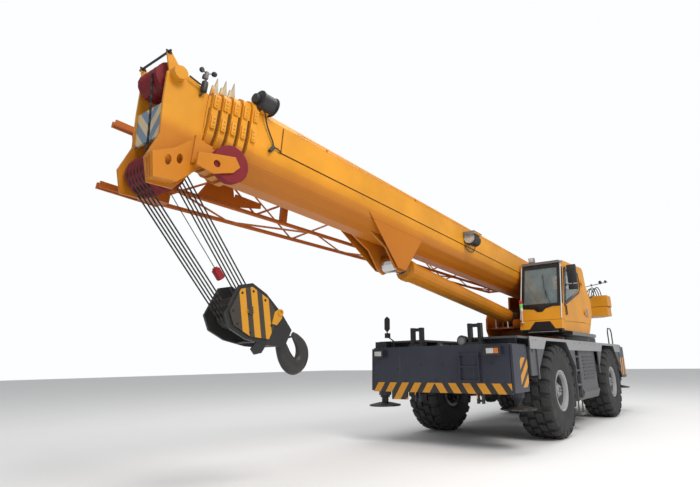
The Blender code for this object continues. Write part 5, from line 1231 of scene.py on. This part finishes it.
def cab_side():
    """Door handle, vent, and mirrors on the door."""
    grip = crane_block((-1.285, -1.235), (CAB_LEFT + 0.022, CAB_LEFT + 0.042), (2.60, 2.82), 0.010, 3)
    plate = crane_block((-1.30, -1.22), (CAB_LEFT + 0.003, CAB_LEFT + 0.012), (2.59, 2.83), 0.004)
    dark("door_handle", [grip, plate], "door")

    vent = [crane_block((-3.30, -3.08), (CAB_LEFT - 0.002, CAB_LEFT + 0.010), (z, z + 0.012), 0.003)
            for z in (2.66 + 0.022 * k for k in range(10))]
    vent.append(crane_block((-3.31, -3.07), (CAB_LEFT - 0.004, CAB_LEFT + 0.004), (2.65, 2.885), 0.003))
    gather("side_vent", vent, paint("vent_grey", (0.30, 0.29, 0.28), 0.5), "upper")

    shells, faces = [], []
    for z, height in ((3.635, 0.235), (3.305, 0.068)):
        inner = height - 0.02
        shells.append(crane_block((-1.635, -1.565), (1.61, 1.84), (z - height, z + height), 0.030, 4))
        faces.append(crane_block((-1.640, -1.633), (1.63, 1.82), (z - inner, z + inner), 0.003))
    arms = [line([(-1.56, 1.56, 3.80), (-1.56, 1.62, 3.815), (-1.59, 1.70, 3.80), (-1.60, 1.72, 3.70),
                  (-1.60, 1.72, 3.30)], 0.012),
            line([(-1.52, 1.56, 3.36), (-1.55, 1.64, 3.37), (-1.60, 1.72, 3.37)], 0.012)]
    feet = [crane_block((x - 0.04, x + 0.04), (1.555, 1.575), (z - 0.03, z + 0.03), 0.004)
            for x, z in ((-1.56, 3.80), (-1.52, 3.36))]
    dark("side_mirrors", shells + arms + feet, "door")
    silver = steel("mirror_silver", (0.75, 0.76, 0.78), 0.05, 1.0)
    gather("mirror_glasses", faces, silver, "door")


def cab_lamps():
    """Roof lamp, and the red, green and white load lights on their post."""
    grey("roof_lamp", [crane_block((-1.510, -1.415), (0.694, 0.846), (4.004, 4.136), 0.012, 3)], "upper")
    clear = crane_block((-1.417, -1.409), (0.708, 0.832), (4.016, 4.124), 0.003)
    gather("roof_lamp_lens", [clear], lamp_clear(), "upper")
    x, y = -0.816, CAB_RIGHT + 0.075
    lights = [("red", (0.55, 0.02, 0.02), 0.08, 2.885, 2.984),
              ("green", (0.08, 0.62, 0.10), 0.35, 2.79, 2.882),
              ("white", (0.70, 0.70, 0.68), 0.08, 2.70, 2.787)]
    for colour, tint, glow, low, high in lights:
        drum = bar(at(x, y, low), at(x, y, high), 0.036, 16, 0.12)
        gather("load_light_" + colour, [drum], lens("load_" + colour, tint, glow), "upper")
    post = [bar(at(x, y, 2.42), at(x, y, 2.71), 0.015, 10, 0.1),
            bar(at(x, y, 2.42), at(x, y, 2.435), 0.035, 12, 0.1)]
    pale("load_light_post", post, "upper")


class CRANE_OT_cab_fittings(bpy.types.Operator):
    """Window borders, trim strips, mirrors, lamps, wiper, handle and vent on the cab"""
    bl_idname = "crane.cab_fittings"
    bl_label = "Cab fittings"

    def execute(self, context):
        coat_nodes(window("cab_glass"), ["windscreen", "cab_right_glass", "cab_door_glass"])
        coat_nodes(cloth("seat_cloth"), ["operator_seat"])
        coat_nodes(black_plastic(), ["control_console"])
        cab_borders()
        cab_side()
        cab_lamps()
        arm = [screen(1.30, 2.86, 0.02), screen(1.22, 3.10, 0.03), screen(1.12, 3.36, 0.022)]
        blade = [screen(1.20, 3.02, 0.014), screen(1.14, 3.34, 0.014), screen(1.10, 3.62, 0.014)]
        pivot = bar(screen(1.30, 2.86, -0.002), screen(1.30, 2.86, 0.03), 0.022, 12, 0.2)
        dark("wiper", [hose(arm, 0.008), hose(blade, 0.007), pivot], "upper")
        pale("cab_front_rail", [bar(at(-0.855, 0.72, 2.20), at(-0.855, 1.46, 2.20), 0.012, 10, 0.1)], "upper")
        return {"FINISHED"}


def box_lamps():
    """Lamps let into the outrigger boxes, and the horn on the front one."""
    cases, clears, ambers, reds = [], [], [], []
    for y, width, split in ((0.05 - BOX_HALF, 0.24, 1.0), (BOX_HALF - 0.44, 0.30, 0.60)):
        left, right, low, high = y - 0.012, y + width + 0.012, FRONT_BOX_TOP - 0.206, FRONT_BOX_TOP - 0.044
        rim = ((left, low), (right, low), (right, high), (left, high))
        cases.append(sheet([Vector((FRONT_FACE + 0.084, a, b)) for a, b in rim], 0.03, 0.030, 0.004))
        depth, height = (FRONT_FACE + 0.080, FRONT_FACE + 0.094), (low + 0.034, high - 0.034)
        end = y + 0.03 + (width - 0.06) * split
        clears.append(block(depth, (y + 0.03, end), height, 0.006, 3))
        if split < 1.0:
            ambers.append(block(depth, (end + 0.006, y + width - 0.03), height, 0.006, 3))
    horn = (FRONT_FACE - 0.012, 0.59, FRONT_BOX_TOP + 0.075)
    cases.append(lathe([(0.100, -0.004), (0.100, 0.012), (0.086, 0.018), (0.078, 0.010), (0.078, -0.004)],
                       horn, (1, 0, 0), 28))
    plate = bar((horn[0] - 0.002, *horn[1:]), (horn[0] + 0.011, *horn[1:]), 0.078, 24, 0.3)
    grey("horn_face", [plate], "carrier")
    depth, height = (REAR_FACE - 0.058, REAR_FACE - 0.046), (REAR_BOX_TOP - 0.27, REAR_BOX_TOP - 0.15)
    for side in (-1, 1):
        for start, row in ((0.10, clears), (0.22, ambers), (0.34, reds)):
            span = (side * (BOX_HALF - start), side * (BOX_HALF - start - 0.10))
            row.append(block(depth, span, height, 0.006, 3))
    gather("rear_lamp_reds", reds, lens("lamp_red", (0.45, 0.012, 0.012), 0.05), "carrier")
    dark("front_lamp_cases", cases, "carrier")
    gather("lamp_lenses", clears, lamp_clear(), "carrier")
    gather("lamp_ambers", ambers, lens("lamp_amber", (0.62, 0.16, 0.012), 0.1), "carrier")


class CRANE_OT_carrier_fittings(bpy.types.Operator):
    """Lamps and bolts of the outrigger boxes, deck bolts and ladder treads"""
    bl_idname = "crane.carrier_fittings"
    bl_label = "Carrier fittings"

    def execute(self, context):
        box_lamps()
        face = FRONT_FACE - 0.001
        spots = [(face, y, 1.20) for y in (-1.45, -1.08, -0.72, -0.36, 0.0, 0.36, 1.08, 1.42)]
        spots += [(face, y, z) for y, z in ((-0.9, 1.42), (-0.35, 1.50), (0.15, 1.50), (1.20, 1.50))]
        slate = paint("carrier_slate_bolts", tuple(colours().carrier), 0.34)
        gather("front_plate_bolts", bolts(spots, (1, 0, 0), 0.016), slate, "carrier")

        treads, edges = [], []
        for side in (-1, 1):
            for z in (0.355, 0.675, 0.995, 1.315, 1.635):
                for x in (-1.76 + 0.08 * k for k in range(5)):
                    treads.append(crane_block((x - 0.01, x + 0.01), (side * 1.502, side * 1.592),
                                              (z - 0.006, z + 0.006), 0.002))
            along = [1.30, 1.45] + [-1.31 - 0.48 * k for k in range(6)] + [-6.0]
            edges += bolts([at(x, side * 1.648, 1.93) for x in along], (0, side, 0), 0.014)
        gather("ladder_treads", treads, paint("tread_grey", (0.22, 0.22, 0.225), 0.5), "carrier")
        gather("deck_bolts", edges, steel("bolt_zinc", (0.30, 0.29, 0.27), 0.35, 0.8), "carrier")
        return {"FINISHED"}


class CRANE_OT_hoses(bpy.types.Operator):
    """Hydraulic hoses of the upper works, the lamp rail on the counterweight and the hose guard"""
    bl_idname = "crane.hoses"
    bl_label = "Hoses"

    def execute(self, context):
        radius = sizes().hose
        lines = []
        for k in range(4):
            y = 0.10 + 0.07 * k
            lines.append(line([(-1.35, y, 2.42), (-1.22, y + 0.02, 2.62), (-1.40, y + 0.05, 2.80),
                               (-1.75, 0.30 + 0.02 * k, 2.86), (-2.3, 0.36, 2.72), (-2.7, 0.38, 2.60)],
                              radius))
        for y in (-0.12 - 0.07 * k for k in range(3)):
            lines.append(line([(-2.2, y, 2.42), (-1.95, y, 2.60), (-2.3, y, 2.80), (-2.9, y, 2.70)], radius))
        dark("turntable_hoses", lines, "upper")
        loops = []
        for k in range(4):
            y, rise = 1.06 + 0.075 * k, 0.035 * (k % 2)
            loops.append(line([(-5.25, 0.94, 3.18 + 0.05 * k), (-5.36, y, 3.30 + 0.04 * k),
                               (-5.55, y, 3.66 + rise), (-5.95, y + 0.03, 3.82 + rise),
                               (-6.35, y + 0.02, 3.72), (-6.50, y, 3.585)], radius))
        dark("weight_hoses", loops, "upper")
        bracket = [line([(-6.4, 0.80, 3.585), (-6.4, 0.80, 3.93), (-6.4, 1.56, 4.03)], 0.014, False),
                   bar(at(-6.4, 0.80, 3.578), at(-6.4, 0.80, 3.592), 0.045, 14)]
        for y, z, width in ((1.04, 3.975, 0.028), (1.33, 4.045, 0.050), (1.50, 4.055, 0.036)):
            bracket.append(bar(at(-6.43, y, z), at(-6.35, y, z), width, 14, 0.2))
            bracket.append(bar(at(-6.4, y, z - width - 0.03), at(-6.4, y, z), 0.010, 8))
        dark("rear_lamp_rail", bracket, "upper")
        guard = [(-1.15, 0.08, 2.36), (-1.15, 0.08, 2.62), (-1.15, -0.24, 2.62), (-1.15, -0.24, 2.36)]
        pale("hose_guard", [line(guard, 0.018, False)], "upper")
        return {"FINISHED"}


# Studio: the viewpoint fitted to the photograph, and the sky's strength as a light and as a backdrop
SKY_LIGHT, SKY_SEEN = 0.52, 1.0
CAMERA_AT = (10.0884, 5.0581, 1.5405)
CAMERA_YAW = 3.7565
CAMERA_PITCH = 0.311
CAMERA_ROLL = -0.0155
FOCAL_PIXELS = 475.9
FRAME_PIXELS = (700, 487)
SENSOR = 36.0
PRINCIPAL = (396.9, 209.8)


def camera():
    """The photograph's viewpoint."""
    yaw, pitch, roll = CAMERA_YAW, CAMERA_PITCH, CAMERA_ROLL
    ahead = Vector((math.cos(yaw) * math.cos(pitch), math.sin(yaw) * math.cos(pitch), math.sin(pitch)))
    right = Vector((math.sin(yaw), -math.cos(yaw), 0.0))
    up = right.cross(ahead)
    turned_right = math.cos(roll) * right + math.sin(roll) * up
    turned_up = math.cos(roll) * up - math.sin(roll) * right
    turn = Matrix((turned_right, turned_up, -ahead)).transposed().to_4x4()
    data = bpy.data.cameras.new("camera")
    data.sensor_width = SENSOR
    data.lens = FOCAL_PIXELS * SENSOR / FRAME_PIXELS[0]
    data.shift_x = (FRAME_PIXELS[0] / 2 - PRINCIPAL[0]) / FRAME_PIXELS[0]
    data.shift_y = (PRINCIPAL[1] - FRAME_PIXELS[1] / 2) / FRAME_PIXELS[0]
    data.clip_end = 200.0
    made = bpy.data.objects.new("camera", data)
    made.matrix_world = Matrix.Translation(CAMERA_AT) @ turn
    bpy.context.scene.collection.objects.link(made)
    bpy.context.scene.camera = made


def light(name, at_point, aim, size, power, colour=(1.0, 1.0, 1.0)):
    """A square soft light that looks at a point."""
    data = bpy.data.lights.new(name, "AREA")
    data.energy = power
    data.size = size
    data.color = colour
    made = bpy.data.objects.new(name, data)
    made.location = at_point
    made.rotation_euler = (Vector(aim) - Vector(at_point)).to_track_quat("-Z", "Y").to_euler()
    bpy.context.scene.collection.objects.link(made)


class CRANE_OT_studio(bpy.types.Operator):
    """Pale floor, soft lights and the photograph's viewpoint"""
    bl_idname = "crane.studio"
    bl_label = "Studio"

    def execute(self, context):
        bpy.ops.object.select_all(action="DESELECT")
        bpy.ops.mesh.primitive_plane_add(size=160.0, location=(0.0, 0.0, -0.002))
        floor = context.object
        floor.name = "studio_floor"
        finish = Finish("pale_floor")
        shade = finish.mix(finish.noise(0.6, 3.0, 0.5), (0.86, 0.86, 0.86), (0.89, 0.89, 0.89))
        finish.show(Base_Color=shade, Roughness=0.9, Specular_IOR_Level=0.1)
        floor.data.materials.append(finish.material)
        world = bpy.data.worlds.new("studio_sky")
        world.use_nodes = True
        tree = world.node_tree
        tree.nodes["Background"].inputs["Color"].default_value = (0.98, 0.99, 1.0, 1.0)
        seen = tree.nodes.new("ShaderNodeLightPath").outputs["Is Camera Ray"]
        strength = tree.nodes.new("ShaderNodeMapRange")
        strength.inputs["To Min"].default_value = SKY_LIGHT
        strength.inputs["To Max"].default_value = SKY_SEEN
        tree.links.new(seen, strength.inputs["Value"])
        tree.links.new(strength.outputs["Result"], tree.nodes["Background"].inputs["Strength"])
        context.scene.world = world
        context.scene.view_settings.view_transform = "Standard"
        light("key", (9.0, 16.0, 17.0), (0.0, 0.0, 2.0), 9.0, 3100.0, (1.0, 0.98, 0.95))
        light("top", (-3.0, 2.0, 18.0), (-1.0, 0.0, 2.0), 12.0, 1300.0)
        camera()
        return {"FINISHED"}


CLASSES = (CraneColours, CraneSizes, CRANE_OT_body_paint, CRANE_OT_carrier_paint, CRANE_OT_running_gear,
           CRANE_OT_tyres, CRANE_OT_tackle, CRANE_OT_boom_fittings, CRANE_OT_cab_fittings,
           CRANE_OT_carrier_fittings, CRANE_OT_hoses, CRANE_OT_studio)
STEPS = [cls.bl_idname for cls in CLASSES if issubclass(cls, bpy.types.Operator)]


class CRANE_PT_panel(bpy.types.Panel):
    """The crane's settings and building steps"""
    bl_idname = "CRANE_PT_panel"
    bl_label = "Rough terrain crane"
    bl_space_type = "VIEW_3D"
    bl_region_type = "UI"
    bl_category = "Crane"

    def draw(self, context):
        for group in (context.scene.crane_colours, context.scene.crane_sizes):
            for name in group.__annotations__:
                self.layout.prop(group, name)
        for step in STEPS:
            self.layout.operator(step)


def register():
    for cls in (*CLASSES, CRANE_PT_panel):
        bpy.utils.register_class(cls)
    bpy.types.Scene.crane_colours = PointerProperty(type=CraneColours)
    bpy.types.Scene.crane_sizes = PointerProperty(type=CraneSizes)


def unregister():
    del bpy.types.Scene.crane_colours
    del bpy.types.Scene.crane_sizes
    for cls in reversed((*CLASSES, CRANE_PT_panel)):
        bpy.utils.unregister_class(cls)


def main():
    register()
    for step in STEPS:
        group, name = step.split(".")
        getattr(getattr(bpy.ops, group), name)()


if __name__ == "__main__":
    main()
